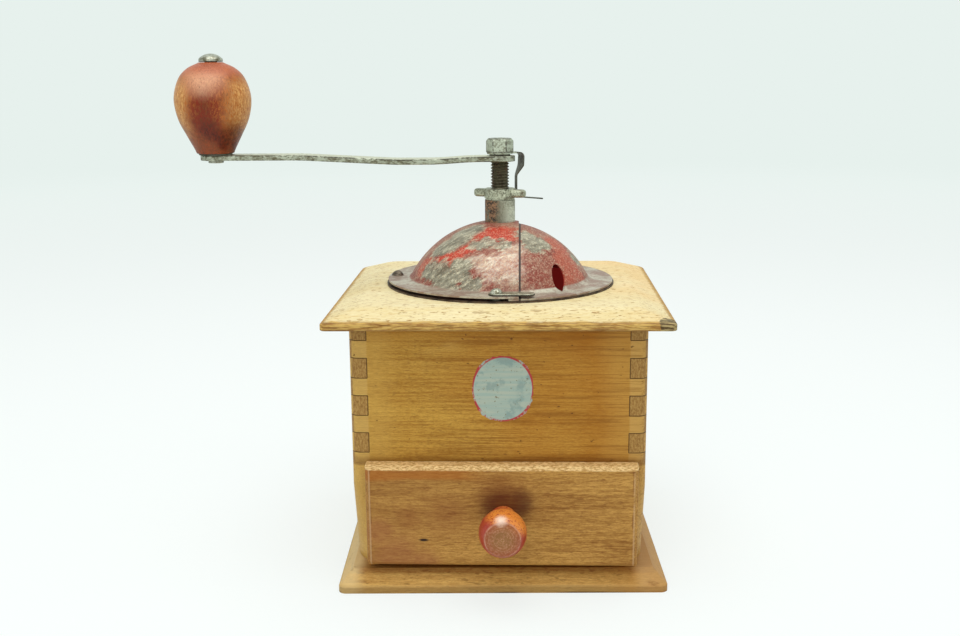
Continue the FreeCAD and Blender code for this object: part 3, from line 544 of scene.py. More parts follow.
JOINT_LINE = 0.26, 0.1
FINE_LINE = 0.5, 0.1
STREAKS_LEAN = 0.2, -0.5, 0.1
# RED_GLOW is a painted glow, for insides that no lamp reaches
BLACK, DEEP_RED, RED_GLOW = (0, 0, 0), (150, 36, 30), (74, 14, 12)
PIT = (58, 52, 40)
# Where the dome is worn: middle and reach of each spot. Fresh paint, the cleanest of it, bare metal, and rubbed
# metal that also carries a painted highlight
DOME_SPOTS = {
    "fresh": [
        (-5, -17, 136, 9), (3, -16, 136.8, 9), (-1.5, -20.5, 135, 7), (-12.8, -23.4, 131.1, 6.5),
        (-16.8, -24.1, 128.8, 6.5), (-21, -24, 126.3, 7), (-25.3, -21.2, 125, 6.5), (-32, -14, 122.9, 8),
        (24.4, -9.7, 131.5, 10), (29.2, -15.7, 124.8, 11), (34.7, -16, 117.2, 9), (28, -24, 118, 8),
        (-30, 14, 126, 11), (16, 24, 130, 13), (-10, 38, 118, 10), (38, 8, 119, 9),
    ],
    "clean": [(-2, -18.5, 136, 12), (-14, -24, 130, 9), (-23, -22.5, 125.6, 9)],
    "grey": [
        (-15.7, -12.7, 135.4, 9.5), (-11, -11, 137.5, 8), (-20, -15, 132.4, 8), (-25, -14, 129.7, 7),
        (-29, -21, 121.6, 8.5), (-24.2, -26.4, 121.3, 9), (-20, -30.8, 120, 8.5), (-15.8, -30, 123.5, 7.5),
        (-11.6, -35, 119.6, 6.5), (-8.7, -22.5, 133, 5), (-5, -22.3, 133.8, 5), (0.7, -22.8, 133.9, 5),
        (11.8, -15.6, 135.7, 7.5), (16.8, -15.9, 133.7, 7.5), (13, -21, 132.5, 5.5), (-7, 24, 132, 12),
        (24, 22, 126, 12), (-31, 24, 119, 10), (33, -4, 125, 6),
    ],
    # Rubbed metal in front, whose pale colour is also a painted highlight where the soft box would reflect
    "highlight_and_wear": [
        (-1, -31, 127.4, 9), (4, -29.3, 128.7, 9.5), (-4, -34, 123.8, 8), (5, -33.5, 124, 9),
        (6.5, -25.5, 131.4, 6.5), (-9, -30, 126.5, 6),
    ],
}


def finish_of(make, *values, name=None):
    """A finish, made the first time that a piece asks for it and named after the function that makes it."""
    name = name or make.__name__
    return bpy.data.materials.get(name) or make(name, *values)


def scrubbed_top(name, wood):
    """Bare scrubbed top board: cream with short flecks, a rough brown edge and one chipped corner."""
    f = Wood(name, wood.top_pale, wood.top_deep, wood.top_flecks, flecks=0.85, weights=(0.45, 0.35, 0.4),
             size=0.62, grit=0.05)
    low, high = corners("top_board")
    x, y, z = f.axes()
    cloud = f.noise(38, 4)
    f.stain((x * 0.6 + y * 0.5 + cloud * 0.09).rise(0.05, 0.1) * 0.55, (236, 196, 132))
    f.stain(f.noise(f.fibres(330, 1500), 3).rise(0.56, 0.66) * 0.4, (196, 154, 92))
    f.stain(f.noise((80, 200, 200), 4).rise(0.68, 0.72) * 0.5, (150, 112, 66))
    rough = f.noise((190, 1100, 1500), 4, 0.6)
    edge = (z + rough * 0.0014).past(low[2] + 4.3, low[2] + 3.7)
    f.stain(edge * 0.92, f.blend(rough.rise(0.38, 0.6), (204, 164, 84), (150, 102, 36)))
    f.stain(edge * f.noise((120, 1500, 2200), 4).rise(0.54, 0.62) * 0.6, (96, 60, 26))
    f.stain((z + rough * 0.0009).past(low[2] + 1.3, low[2] + 0.5) * 0.6, (104, 66, 28))
    chip = f.spots(f.ragged(((320, 320, 320), 4, 2.4)), (high[0] - 1.5, low[1] + 1.5, low[2] + 2.4, 8.5))
    f.stain(chip.rise(0.3, 0.4) * 0.85, f.blend(rough.rise(0.42, 0.56), (168, 150, 104), (58, 46, 30)))
    return f.varnish(0.5)


def joint_lines(f, wood):
    """The glue lines of the finger joints, dark and fine, and where the side boards' tongues are.

    Tongues and gaps repeat up the corner: a tongue runs from 0 to the tongue's height of each pitch. A level
    line lies at each end of a tongue in the corner blocks, and an upright one beside each tongue or gap.
    """
    x, y, z = f.axes()
    wide, deep = abs(x), abs(y)
    up = (z - wood.joint_start * MM).repeat(wood.joint_pitch * MM)
    tongue = up.past(wood.joint_tongue + 0.02, wood.joint_tongue - 0.02)
    block = wood.joint_block
    level = up.smallest(abs(up - wood.joint_tongue * MM)).smallest(abs(up - wood.joint_pitch * MM))
    corner = wide.past(block - 0.1, block) * deep.past(block - 0.1, block)
    beside = wide.near(block, *JOINT_LINE) * tongue * deep.past(block, block + 0.1)
    beyond = deep.near(block, *JOINT_LINE) * (1 - tongue) * wide.past(block, block + 0.1)
    opening = corners("front_board")[0][2]
    closed = 1 - z.past(opening + 0.1, opening - 0.1) * y.past(0, -1)
    line = (level.past(*JOINT_LINE) * corner).largest(beside).largest(beyond) * closed
    return line, tongue * closed


def case_wood(name, wood, along):
    """Varnished case board: honey, deeper to one side, deeper near the top board with stain and painted shade, with
    end grain on its ends.
    """
    f = Wood(name, wood.case_pale, wood.case_deep, wood.pores, along=along, flecks=0.25,
             weights=(0.3, 0.35, 0.3), size=0.6)
    x, y, z = f.axes()
    low, high = corners("front_board")
    cloud = f.noise(24, 4)
    f.stain((x * 0.8 + cloud * 0.08 + z * 0.25).rise(0.035, 0.1) * 0.62, wood.case_orange)
    f.stain(f.noise((22, 22, 60), 3).rise(0.52, 0.72) * x.past(20, -30) * 0.4, (212, 170, 92))
    # Stain and painted shade: deeper orange under the top board
    f.stain((z + cloud * 0.006).past(high[2] - 6, high[2] + 2.5) * 0.5, (174, 106, 6))
    block = wood.joint_block
    f.stain((abs(x) + cloud * 0.001).past(block, block + 1) * 0.3, (212, 182, 116))
    f.stain((abs(x) + cloud * 0.02).past(high[0] - 12, high[0]) * 0.3, (206, 166, 84))
    f.stain(f.line.rise(0.5, 0.6) * x.past(-50, 10) * 0.4, (122, 76, 18))
    foot = (z - cloud * 0.003).past(low[2] + 2.6, low[2] - 1.2) * z.past(low[2] - 1.5, low[2] - 0.5)
    f.stain(foot * y.past(2 - block, 1 - block) * 0.5, (104, 58, 22))
    f.stain(f.noise((420, 420, 700), 2, 0.4).rise(0.73, 0.77) * 0.7, (84, 48, 16))
    f.stain(f.noise(f.fibres(60, 260), 5, 0.7).rise(0.66, 0.73) * 0.35, (120, 74, 24))
    line, tongue = joint_lines(f, wood)
    ends, reach, share = (abs(x), high[0], 1 - tongue) if along == "X" else (abs(y), -low[1], tongue)
    rings = f.noise((1500, 1500, 700), 4, 0.7)
    f.stain(ends.past(reach - 1.3, reach - 1.0) * 0.92 * share,
            f.blend(rings.rise(0.34, 0.66), wood.end_grain, wood.end_grain_deep))
    f.stain(line * 0.85, (66, 38, 16))
    return f.varnish(0.4)


def drawer_wood(name, wood):
    """Drawer front: browner, stained round the knob, with one small knot and an orange streak at the top."""
    f = Wood(name, wood.drawer_pale, wood.drawer_deep, wood.drawer_pores, flecks=0.3, weights=(0.3, 0.3, 0.4),
             size=0.65)
    low, high = corners("drawer_front")
    knob = sum(corners("drawer_knob")) / 2
    x, _, z = f.axes()
    front, top = low[1], high[2]
    middle, half = (low[0] + high[0]) / 2, (high[0] - low[0]) / 2
    cloud = f.noise((30, 30, 70), 4)
    torn = f.ragged(((90, 90, 200), 4, 2.4))
    f.stain((x + cloud * 0.03).past(10, -30) * 0.3, (128, 80, 36))
    stain = f.spots(torn, (knob[0] - 0.5, front, knob[2] + 5, 15), (knob[0] + 5.5, front, knob[2] + 6, 11.5))
    f.stain(stain.rise(0.02, 0.95) * (f.line * 0.6 + 0.56), (70, 28, 10))
    wide = f.spots(torn, (middle - 22, front, 32, 15), (middle, front, 43, 17), (middle - 36, front, 31, 9))
    f.stain(wide * 0.36, (122, 60, 26))
    f.stain((z + cloud * 0.004).past(top - 4.2, top - 2.4) * x.past(-2, -18) * 0.55, (160, 84, 10))
    low_left = f.spots(torn, (low[0] + 12, front, 14.5, 17), (low[0] + 5, front, 25, 11),
                       (low[0] + 22, front, 12, 12))
    f.stain(low_left.rise(0.0, 0.9) * 0.4, (140, 74, 50))
    knot_at = f.vector("SUBTRACT", f.where, ((low[0] + 22.8) * MM, front * MM, 22.2 * MM))
    knot = f.vector("LENGTH", f.stretch(0.42, 1, 1.3, knot_at), output="Value")
    f.stain((knot + cloud * 0.0006).past(1.4, 0.7), (46, 30, 18))
    side = abs(x - middle * MM)
    # Painted highlight with edge wear: pale lines along the side bevels
    f.stain(side.near(half - 1.7, *FINE_LINE) * cloud.rise(0.35, 0.5) * 0.4, (206, 172, 132))
    f.stain(side.near(half - 2.2, 0.4, 0.1) * f.noise((300, 300, 90)).rise(0.45, 0.6) * 0.5, (96, 50, 30))
    # Painted highlight with edge wear: the upward-facing top bevel is pale
    lip = f.blend(f.noise((700, 1400, 2600), 3).rise(0.4, 0.62), (246, 212, 150), (190, 146, 84))
    f.stain((z + f.line * 0.0006).past(top - 1.6, top - 1.0) * 0.88, lip)
    f.stain(f.noise((24, 400, 1500), 3).rise(0.58, 0.66) * z.near(top - 1.9, *FINE_LINE) * 0.8, (110, 64, 26))
    return f.varnish(0.46)


def tan_base(name, wood):
    """Base board: tan with open grain, darker where the case shades it, its lower edge greyed and stained."""
    f = Wood(name, wood.base_pale, wood.base_deep, wood.pores, flecks=0.6, weights=(0.3, 0.35, 0.4), size=0.8,
             grit=0.3)
    _, high = corners("base_board")
    foot_line = 3.0
    x, y, z = f.axes()
    cloud = f.noise((40, 120, 120), 4)
    f.stain((z + cloud * 0.002).past(high[2] - 1.6, high[2] + 0.4) * 0.55, (132, 80, 30))
    # Painted light with bare wood: the bevelled sides are paler, less so on the right
    side = (abs(x) + cloud * 0.006).past(high[0] - 12.5, high[0] - 6.5)
    f.stain(side * (0.7 - x.past(0, 10) * 0.25), (226, 200, 144))
    # Painted highlight: the front bevel is paler
    bevel = (z + cloud * 0.0008).past(high[2] - 0.9, high[2] - 1.8) * y.past(-50, -55)
    f.stain(bevel * (1 - f.line * 0.5) * 0.24, (226, 176, 94))
    # Painted highlight: a pale line along the arris at the foot line
    f.stain(z.near(foot_line, 0.6, 0.1) * 0.4, (206, 168, 100))
    f.stain((z - cloud * 0.0012).past(foot_line - 0.3, foot_line - 1.4) * 0.6, (150, 120, 70))
    rough = f.noise((60, 500, 900), 4)
    f.stain((z + rough * 0.001).past(foot_line - 1.4, foot_line - 2.3) * rough.rise(0.4, 0.6) * 0.8, (70, 48, 24))
    f.stain((x + cloud * 0.03).past(45, 75) * 0.4, (168, 104, 36))
    f.stain(f.noise((70, 70, 300), 4, 0.7).rise(0.6, 0.72) * 0.45, (122, 68, 20))
    return f.varnish(0.5)


def inner_wood(name, wood):
    """Inside of the drawer: unvarnished, darkened by coffee."""
    f = Wood(name, (196, 158, 104), (146, 104, 60), wood.pores, along="Y", flecks=0.4)
    f.stain(f.noise(60, 4).rise(0.5, 0.75) * 0.5, (96, 62, 36))
    return f.varnish(0.6)


def dome_paint(name, hopper):
    """Red paint on sheet steel: dull and chalky, rubbed to bare metal in torn patches with scratched edges. It also
    carries painted light: a pale painted highlight on the rubbed metal in front, a dark line of painted shadow
    in the seam's gap and a dim painted glow on the hidden inside.

    Each kind of wear has its own spots on the dome. The place they are laid out on is pushed about by noise, so
    that their outlines are torn, and streaks of noise that lean across the dome thin them out.
    """
    f = Finish(name, specular=0.4)
    streak_place = f.stretch(170, 420, 560, turn=STREAKS_LEAN)
    torn = f.ragged(((80, 80, 80), 4, 5.5), (streak_place, 4, 3.0))
    blotch, speck, grit = f.noise(85, 6, 0.62), f.noise(900, 4, 0.7), f.noise(1500, 3, 0.65)
    streaks = f.noise(streak_place, 5, 0.72)
    fresh, clean, grey, highlight_and_wear = (f.spots(torn, *DOME_SPOTS[kind]) for kind in ("fresh", "clean", "grey", "highlight_and_wear"))
    worn = (blotch * 0.75 + streaks * 0.35 + speck * 0.2).rise(0.52, 0.84)
    f.tone = f.blend(worn * 0.8, hopper.paint, hopper.haze)
    f.stain((fresh + streaks * 0.8 - 0.4).rise(0.12, 0.42) * 0.9,
            f.blend(clean.rise(0.1, 0.6), hopper.coral_paint, hopper.bright_paint))
    wear = grey + streaks * 0.9 + blotch * 0.5 + speck * 0.12 - 0.72
    bare = wear.rise(0.1, 0.46)
    rim = wear.rise(0.04, 0.18) * wear.rise(0.36, 0.2) * (grey.rise(0.0, 0.2) * 0.85 + 0.15)
    metal = f.blend((streaks * 0.4 + blotch * 0.2 + grit * 0.45).rise(0.46, 0.6), hopper.bare, hopper.bare_pale)
    f.stain(bare * 0.86, f.blend(streaks.rise(0.56, 0.68) * 0.5, metal, hopper.primer))
    curled = abs(f.noise(f.stretch(210, 420, 480, turn=STREAKS_LEAN), 4, 0.62) - 0.5)
    curls = curled.rise(0.022, 0.008) * streaks.rise(0.46, 0.54)
    f.stain(curls * (grey.rise(0.0, 0.3) * 0.6 + 0.25), (222, 214, 184))
    # Painted highlight on rubbed metal: a pale patch, which is also made metallic below
    sheen = (highlight_and_wear + streaks * 0.5 + speck * 0.25 - 0.4).rise(0.02, 0.6)
    rubbed = (streaks * 0.35 + speck * 0.2 + grit * 0.45).rise(0.4, 0.6)
    f.stain(sheen * 0.6, f.blend(rubbed, (128, 98, 82), (208, 204, 190)))
    cream = rim * streaks.rise(0.46, 0.58) * 0.7
    lines = f.noise(f.stretch(70, 1300, 1700, turn=(0.3, -0.45, 0.2)), 3, 0.7).rise(0.62, 0.67)
    cross = f.noise(f.stretch(1300, 90, 1500, turn=(0.9, 0.7, 0.5)), 3, 0.7).rise(0.63, 0.68)
    f.stain((cream + lines * 0.55 + cross * 0.5) * (speck + 0.3), hopper.primer)
    f.stain(grit.rise(0.5, 0.62) * 0.42, hopper.dirt)
    f.stain(grit.rise(0.46, 0.36) * 0.42, (206, 182, 150))
    x, _, z = f.axes()
    foot = corners("front_clip")[0][2]
    f.stain((z + blotch * 0.003).past(foot + 4.2, foot + 0.9) * blotch.rise(0.35, 0.55) * 0.4, hopper.dirt)
    flange = (z + blotch * 0.0004).past(foot + 0.9, foot + 0.3)
    dull = f.blend((blotch * 0.6 + streaks * 0.5).rise(0.46, 0.62), (200, 198, 178), (158, 134, 118))
    f.stain(flange * 0.85, f.blend(speck.rise(0.5, 0.7) * 0.5, dull, (96, 72, 60)))
    # Painted shadow of the seam's gap, with dark grease in it: a dark line beside the fixed half's cut edge
    seam = x.near(hopper.seam + 0.4, 0.5, 0.35)
    f.stain(seam * 0.85, (26, 16, 14))
    # Painted glow: the dome's inside, and the moving half where the fixed one covers it, get deep red paint and
    # glow dim red
    ball = f.vector("DISTANCE", f.where, (0, 0, hopper.centre * MM), output="Value")
    inner = hopper.radius - hopper.sheet
    under = ball.near(inner, 0.3, 0.2) * x.past(hopper.seam - 0.2, hopper.seam - 0.6)
    inside = ball.past(inner - 0.6, inner - 0.8).largest(under) * z.past(foot - 0.1, foot + 0.3)
    f.stain(inside, DEEP_RED)
    shine = sheen.largest(bare * 0.4).largest(flange * 0.5) * (1 - inside) * (1 - seam)
    return f.close(speck * 0.4 - bare * 0.5 - lines * 0.3 + grit * 0.2, 0.35, 0.3, metallic=shine * 0.8,
                   roughness=0.46 - shine * 0.1 + speck * 0.16, emission_color=f.blend(inside, BLACK, RED_GLOW),
                   emission_strength=1.0)


def inner_paint(name):
    """The funnel: dark red where the beans slide, where it glows dim red with a painted glow, bare and brown on the
    lower ring's edge.
    """
    f = Finish(name, specular=0.3)
    ring_edge = 40.0
    x, y, _ = f.axes()
    cloud = f.noise(220, 5, 0.65)
    inside = f.length(x, y, 0.0).past(ring_edge + 0.5, ring_edge - 0.5)
    rim = f.blend(cloud.rise(0.4, 0.62), (92, 74, 58), (40, 30, 24))
    f.tone = f.blend(inside, rim, f.blend(cloud, DEEP_RED, (92, 30, 24)))
    # The inside glows dim red: painted light, though no lamp lights it
    return f.close(cloud, 0.2, 0.3, emission_color=f.blend(inside, BLACK, RED_GLOW), emission_strength=1.0)


def steel(name, tone, tarnish, rust, rusty, roughness=0.38, grain=260.0, metal=0.85, pitted=0.0):
    """Old plain steel: dull spots, fine pits, dark specks and some rust."""
    f = Finish(name)
    cloud, pits, wide = f.noise(grain, 5, 0.65), f.noise(grain * 5, 3, 0.6), f.noise(grain * 0.35, 4)
    spots = cloud.rise(0.46, 0.66)
    f.tone = f.blend(spots * 0.75, tone, tarnish)
    f.stain(pits.rise(0.58 - pitted, 0.68 - pitted) * 0.7, PIT)
    rusted = (cloud * 0.5 + wide * 0.7).rise(0.72 - rusty * 0.3, 0.85 - rusty * 0.3)
    f.stain(rusted * (rusty * 2), rust)
    return f.close(cloud * 0.6 + pits * 0.4, 0.3, 0.3, roughness=spots * 0.2 + roughness,
                   metallic=metal - rusted * metal * 0.7)


def old_steel(name, crank):
    return steel(name, crank.steel, crank.tarnish, crank.rust, rusty=0.2)


def dark_steel(name, crank):
    return steel(name, (98, 96, 84), (52, 48, 40), crank.rust, rusty=0.15, roughness=0.34)


def worn_steel(name, crank):
    return steel(name, (186, 188, 164), (88, 84, 62), crank.rust, rusty=0.2, roughness=0.42, grain=330.0,
                 metal=0.75, pitted=0.07)


def oiled_thread(name, crank):
    return steel(name, (104, 98, 78), (46, 38, 28), crank.rust, rusty=0.3, roughness=0.4, grain=420.0, metal=0.7)


def clip_steel(name, crank):
    """Steel of the thin clips: plain steel on their upper faces, and painted shade on their edges."""
    f = Finish(name)
    top = corners("front_clip")[1][2]
    cloud, fine, mixed = f.grains(420, 1700)
    # Painted shade: the clip is dark below its upper face
    upper = f.axes()[2].past(top - 0.25, top - 0.05)
    f.tone = f.blend(upper, (54, 48, 38), f.blend(mixed.rise(0.4, 0.62), (196, 196, 174), crank.tarnish))
    return f.close(cloud + fine * 0.5, 0.3, 0.2, roughness=cloud * 0.2 + 0.34, metallic=upper * 0.6 + 0.2)


def screw_steel(name, crank):
    """The dome's two screws: the one beside the clip is rubbed bright, the other one is brown and dull."""
    f = Finish(name)
    cloud, fine, mixed = f.grains(500, 1900)
    between = -27.5
    far = f.axes()[0].past(between + 2.5, between - 2.5)
    f.tone = f.blend(far, f.blend(mixed.rise(0.42, 0.6), (206, 206, 188), crank.tarnish),
                     f.blend(cloud.rise(0.4, 0.6), (120, 106, 88), (62, 50, 40)))
    return f.close(cloud + fine * 0.5, 0.3, 0.2, roughness=cloud * 0.2 + 0.3, metallic=0.75 - far * 0.3)


def nut_steel(name, crank):
    """The nut: tarnished, with painted shade along its upright edges, at its foot and round its top.

    Along the directions that its three pairs of flats face, a place lies at three distances from the axis. Near
    an upright edge the two larger ones are both close to half the nut's width, so the middle one shows the edge.
    """
    f = Finish(name)
    low, high = corners("crank_nut")
    half = (high[1] - low[1]) / 2
    x, y, z = f.axes()
    cosine = math.cos(math.pi / 6)
    first, second, third = abs(y), abs(x * cosine + y * 0.5), abs(x * cosine - y * 0.5)
    middle = first.largest(second).smallest(first.largest(third)).smallest(second.largest(third))
    cloud, fine, mixed = f.grains(420, 1700)
    f.tone = f.blend(mixed.rise(0.44, 0.62) * 0.7, (190, 196, 176), crank.tarnish)
    f.stain(fine.rise(0.6, 0.68) * 0.6, PIT)
    # Painted shade along the nut's upright edges, at its foot and round its top
    ends = z.past(low[2] + 0.8, low[2] + 0.3).largest(z.past(high[2] - 0.5, high[2] - 0.1))
    edge_shade = middle.past(half * 0.89, half * 0.95).largest(ends) * mixed.rise(0.38, 0.5)
    f.stain(edge_shade * 0.75, (62, 58, 44))
    return f.close(mixed, 0.3, 0.3, roughness=cloud * 0.2 + 0.34, metallic=0.8 - edge_shade * 0.5)


def bar_steel(name, crank):
    """The crank's bar: a painted highlight on top, with broken lines of painted shade along the edges of its sides
    and below.
    """
    f = Finish(name)
    level = f.attribute("level")
    cloud = f.noise((160, 420, 420), 5, 0.68)
    fine = f.noise((800, 1500, 1500), 4, 0.65)
    mixed = cloud * 0.6 + fine * 0.4
    f.tone = f.blend((cloud * 0.6 + fine * 0.5).rise(0.46, 0.66), crank.steel, crank.tarnish)
    f.stain(fine.rise(0.6, 0.68) * 0.7, (58, 54, 42))
    # Painted highlight: the top face is pale
    f.stain(level.rise(0.93, 0.99) * 0.8, f.blend(fine.rise(0.4, 0.7), (226, 226, 202), (178, 176, 148)))
    # Painted shade: broken dark lines along the upper edges of the sides, and under the bar
    edge_shade = level.rise(0.35, 0.7) * level.rise(0.97, 0.9) * mixed.rise(0.4, 0.52)
    below = level.rise(-0.6, -0.85) * (cloud * 0.5 + fine * 0.5).rise(0.44, 0.56)
    f.stain(edge_shade.largest(below) * 0.85, (50, 46, 34))
    far_eye = -100.0
    f.stain(f.axes()[0].past(far_eye + 13.5, far_eye) * cloud.rise(0.46, 0.56) * 0.3, (112, 104, 74))
    return f.close(mixed, 0.3, 0.3, roughness=cloud * 0.2 + 0.34, metallic=0.8 - edge_shade * 0.5)


def collar_steel(name, crank):
    """The collar: grey steel whose left side keeps brown rust and a trace of red paint at its foot."""
    f = Finish(name)
    cloud, fine = f.noise((300, 300, 160), 5, 0.65), f.noise(1500, 3, 0.6)
    flakes = f.noise(900, 4, 0.7)
    x, _, z = f.axes()
    # Painted light: darker on the collar's left side as painted shade, lighter on its right as a painted highlight
    bright = f.blend((x + cloud * 0.004).past(1, 7), (128, 124, 106), (206, 208, 188))
    f.tone = f.blend((cloud * 0.5 + fine * 0.5).rise(0.44, 0.6) * 0.6, bright, crank.tarnish)
    rust = (x + cloud * 0.006).past(3.3, 0.8) * (cloud * 0.4 + flakes * 0.6).rise(0.4, 0.46)
    f.stain(rust * 0.92, f.blend(flakes.rise(0.47, 0.54), (46, 24, 12), (150, 112, 80)))
    dome_top = 140.2
    foot = (z + cloud * 0.003).past(dome_top + 2, dome_top)
    f.stain(foot * 0.6, (96, 50, 34))
    dull = rust.largest(foot * 0.8)
    return f.close(cloud + fine * 0.5, 0.35, 0.4, roughness=cloud * 0.2 + 0.36 + dull * 0.3,
                   metallic=0.75 - dull * 0.7)


def burr_iron(name):
    """Cast iron of the burrs, with coffee in its pits."""
    f = Finish(name)
    pits = f.noise(900, 5, 0.6)
    f.tone = f.blend(pits, (70, 66, 62), (118, 112, 104))
    f.stain(f.noise(160, 4).rise(0.5, 0.7) * 0.6, (64, 42, 28))
    return f.close(pits, 0.5, 0.4, roughness=pits * 0.25 + 0.45, metallic=0.6)


def rivet_steel(name, crank):
    """The knob's rivet: its domed head has a painted highlight on top and painted shade where it meets the wood."""
    f = Finish(name)
    head, top = corners("crank_knob")[1][2], corners("knob_pin")[1][2]
    inside_knob = 170.0, 180.0
    cloud = f.noise(380, 5, 0.65)
    z = f.axes()[2] + cloud * 0.0006
    f.tone = f.blend(cloud.rise(0.4, 0.62), (180, 180, 164), crank.tarnish)
    # Painted highlight on the top of the head
    f.stain(z.past((head + top) / 2, top) * 0.4, (214, 216, 202))
    # Painted shade where the head meets the wood
    foot = z.past(head + 1.1, head + 0.5) * z.past(*inside_knob)
    f.stain(foot * 0.85, (48, 40, 32))
    return f.close(cloud, 0.2, 0.3, roughness=cloud * 0.15 + 0.24, metallic=0.85 - foot * 0.6)


def knob_stain(name, crank):
    """The crank knob: red-brown stain, painted rim light on its sides and a painted highlight, netted with fine
    upright fibres.
    """
    f = Finish(name, specular=0.2)
    foot, top = 169.5, 207.5
    x, _, z = f.axes()
    fibre = f.noise((620, 620, 110), 5, 0.7, bend=0.6)
    net, cloud = f.noise((1500, 1500, 620), 4, 0.75), f.noise(90, 4)
    beside = x - sum(corners("crank_knob"))[0] / 2 * MM
    out = abs(beside) + cloud * 0.005 - 0.0025
    # Painted rim light: a band in bare-wood colours along both sides of the knob as the camera sees it
    rim_light = (out - beside * 0.12).past(4, 12.5) * (z + cloud * 0.012).past(foot + 5.5, foot + 20.5)
    rim_light = rim_light * (z + cloud * 0.006).past(top, top - 8.5)
    f.tone = f.blend((fibre * 0.35 + net * 0.65).rise(0.42, 0.58), crank.knob_red, crank.knob_deep)
    thread = (net * 0.8 + fibre * 0.3).rise(0.51, 0.61) * (z + cloud * 0.006).past(foot + 10.5, foot + 19.5)
    f.stain(thread * (out.past(0, 9) * 0.5 + 0.2), (206, 112, 48))
    f.stain(rim_light * (fibre * 0.5 + 0.55), f.blend(net.rise(0.36, 0.64), crank.knob_rim_light, crank.knob_rim_light_deep))
    # Darker towards the bottom of the knob
    f.stain((z + cloud * 0.01).past(foot + 24.5, foot + 8.5) * 0.5,
            f.blend(cloud.rise(0.4, 0.6), crank.knob_low_tone, (150, 84, 44)))
    # Painted highlight: a pale pink patch on the knob's upper part, where the soft box would reflect
    crown = (z + cloud * 0.006).past(foot + 24, foot + 34) * (z + cloud * 0.003).past(top, top - 4.5)
    f.stain(crown * (net * 0.8 + 0.25) * out.past(12.5, 2), (244, 184, 144))
    f.stain((z + cloud * 0.003).past(top - 6, top - 1.5) * 0.55,
            f.blend(net.rise(0.4, 0.6), (216, 130, 88), (168, 80, 50)))
    pores = f.noise((1900, 1900, 800), 2).rise(0.6, 0.7)
    f.stain(pores * 0.4, (66, 26, 14))
    return f.close(fibre * 0.4 + net * 0.4 - pores * 0.4, 0.25, 0.3, roughness=fibre * 0.14 + 0.34,
                   coat_weight=0.08, coat_roughness=0.18)


def drawer_knob_paint(name, drawer):
    """The drawer knob: red paint, worn to orange wood on top and rubbed dull on its flat end."""
    f = Finish(name, specular=0.4)
    low, high = corners("drawer_knob")
    front = low[1]
    middle_x, _, middle_z = (low + high) / 2
    x, y, z = f.axes()
    right, up = x - middle_x * MM, z - middle_z * MM
    cloud, speck = f.noise(240, 5, 0.65), f.noise(1400, 3)
    out = f.length(right, 0.0, up)
    f.tone = f.blend((speck * 0.5 + cloud * 0.5).rise(0.42, 0.62) * 0.5, drawer.knob_red, (180, 82, 52))
    f.stain((up + right * 0.4 + cloud * 0.005).past(5.2, 9.2) * speck.rise(0.3, 0.5), drawer.knob_wood)
    end = (y + cloud * 0.0008).past(front + 1.3, front + 0.6)
    rubbed = f.blend((out + cloud * 0.003).past(3.5, 8.5), (134, 94, 38), (144, 74, 30))
    f.stain(end * 0.85, f.blend(speck.rise(0.45, 0.65) * 0.35, rubbed, (196, 140, 104)))
    turning = f.noise(f.stretch(1, 1, 1, f.add("ShaderNodeCombineXYZ", {}, [out * 2600, 0.0, 0.0])), 2)
    f.stain(turning.rise(0.52, 0.62) * end * cloud.rise(0.4, 0.5) * 0.4, (206, 158, 114))
    # Painted highlight: a small pale spot on the knob's rounding, above its flat end
    highlight_and_wear = f.spots(f.ragged(((900, 900, 900), 3, 0.8)), (middle_x - 0.6, front + 1.2, middle_z + 7.6, 3.6))
    f.stain(highlight_and_wear * 0.85, (246, 222, 200))
    f.stain(out.near(7.2, 0.9, 0.2) * end * cloud.rise(0.42, 0.56) * 0.5, (214, 160, 140))
    return f.close(speck * 0.3 + cloud * 0.3, 0.15, 0.3, roughness=cloud * 0.2 + 0.26, coat_weight=0.08,
                   coat_roughness=0.2)


def label_paper(name, drawer):
    """Faded paper, rubbed and speckled, with what is left of a thin border line."""
    f = Finish(name, specular=0.2)
    cloud, lines, speck = f.noise(160, 5, 0.6), f.noise((60, 400, 800), 4), f.noise(900, 3, 0.7)
    f.tone = f.blend(lines.rise(0.4, 0.65) * 0.7, drawer.label_paper, (178, 182, 162))
    f.stain(cloud.rise(0.5, 0.64) * 0.6, (118, 142, 138))
    f.stain(speck.rise(0.62, 0.7) * 0.8, (112, 90, 54))
    f.stain(f.attribute("rim").rise(0.935, 0.96) * (speck * 0.5 + cloud).rise(0.62, 0.74), drawer.label_rim)
    return f.close(speck + lines, 0.15, 0.2, roughness=cloud * 0.1 + 0.6)


# Pieces


class Dressing:
    """What the operators share: they can be undone."""

    bl_options = {"REGISTER", "UNDO"}


class MILL_OT_top_board(Dressing, bpy.types.Operator):
    """Top board: a square with a wide soft bevel and a round hole for the hopper"""

    bl_idname = "mill.top_board"
    bl_label = "Top board"

    def execute(self, context):
        wood = context.scene.mill_wood
        low, high = corners("top_board")
        edge_height, bevel, flat_inset, hole_radius = 2.7, 13, 24.0, 38.83
        front_corner, back_corner = 2.0, 11.0
        outline = rounded_line(
            [(flat_inset, low[2]), (0, low[2]), (0, low[2] + edge_height), (bevel, high[2]), (flat_inset, high[2])],
            [wood.edge, 0.7, 9.0], 8,
        )
        stations = np.vstack([(flat_inset, low[2]), outline, (flat_inset, high[2])])
        share = np.zeros(len(stations))
        share[[0, -1]] = 1
        grid = board(stations, high[0], front_corner, back_corner, hole_radius, share)
        piece("top_board_worn", surface("top_board_worn", grid, around=True), "case",
              finish_of(scrubbed_top, wood), "top_board")
        return {"FINISHED"}


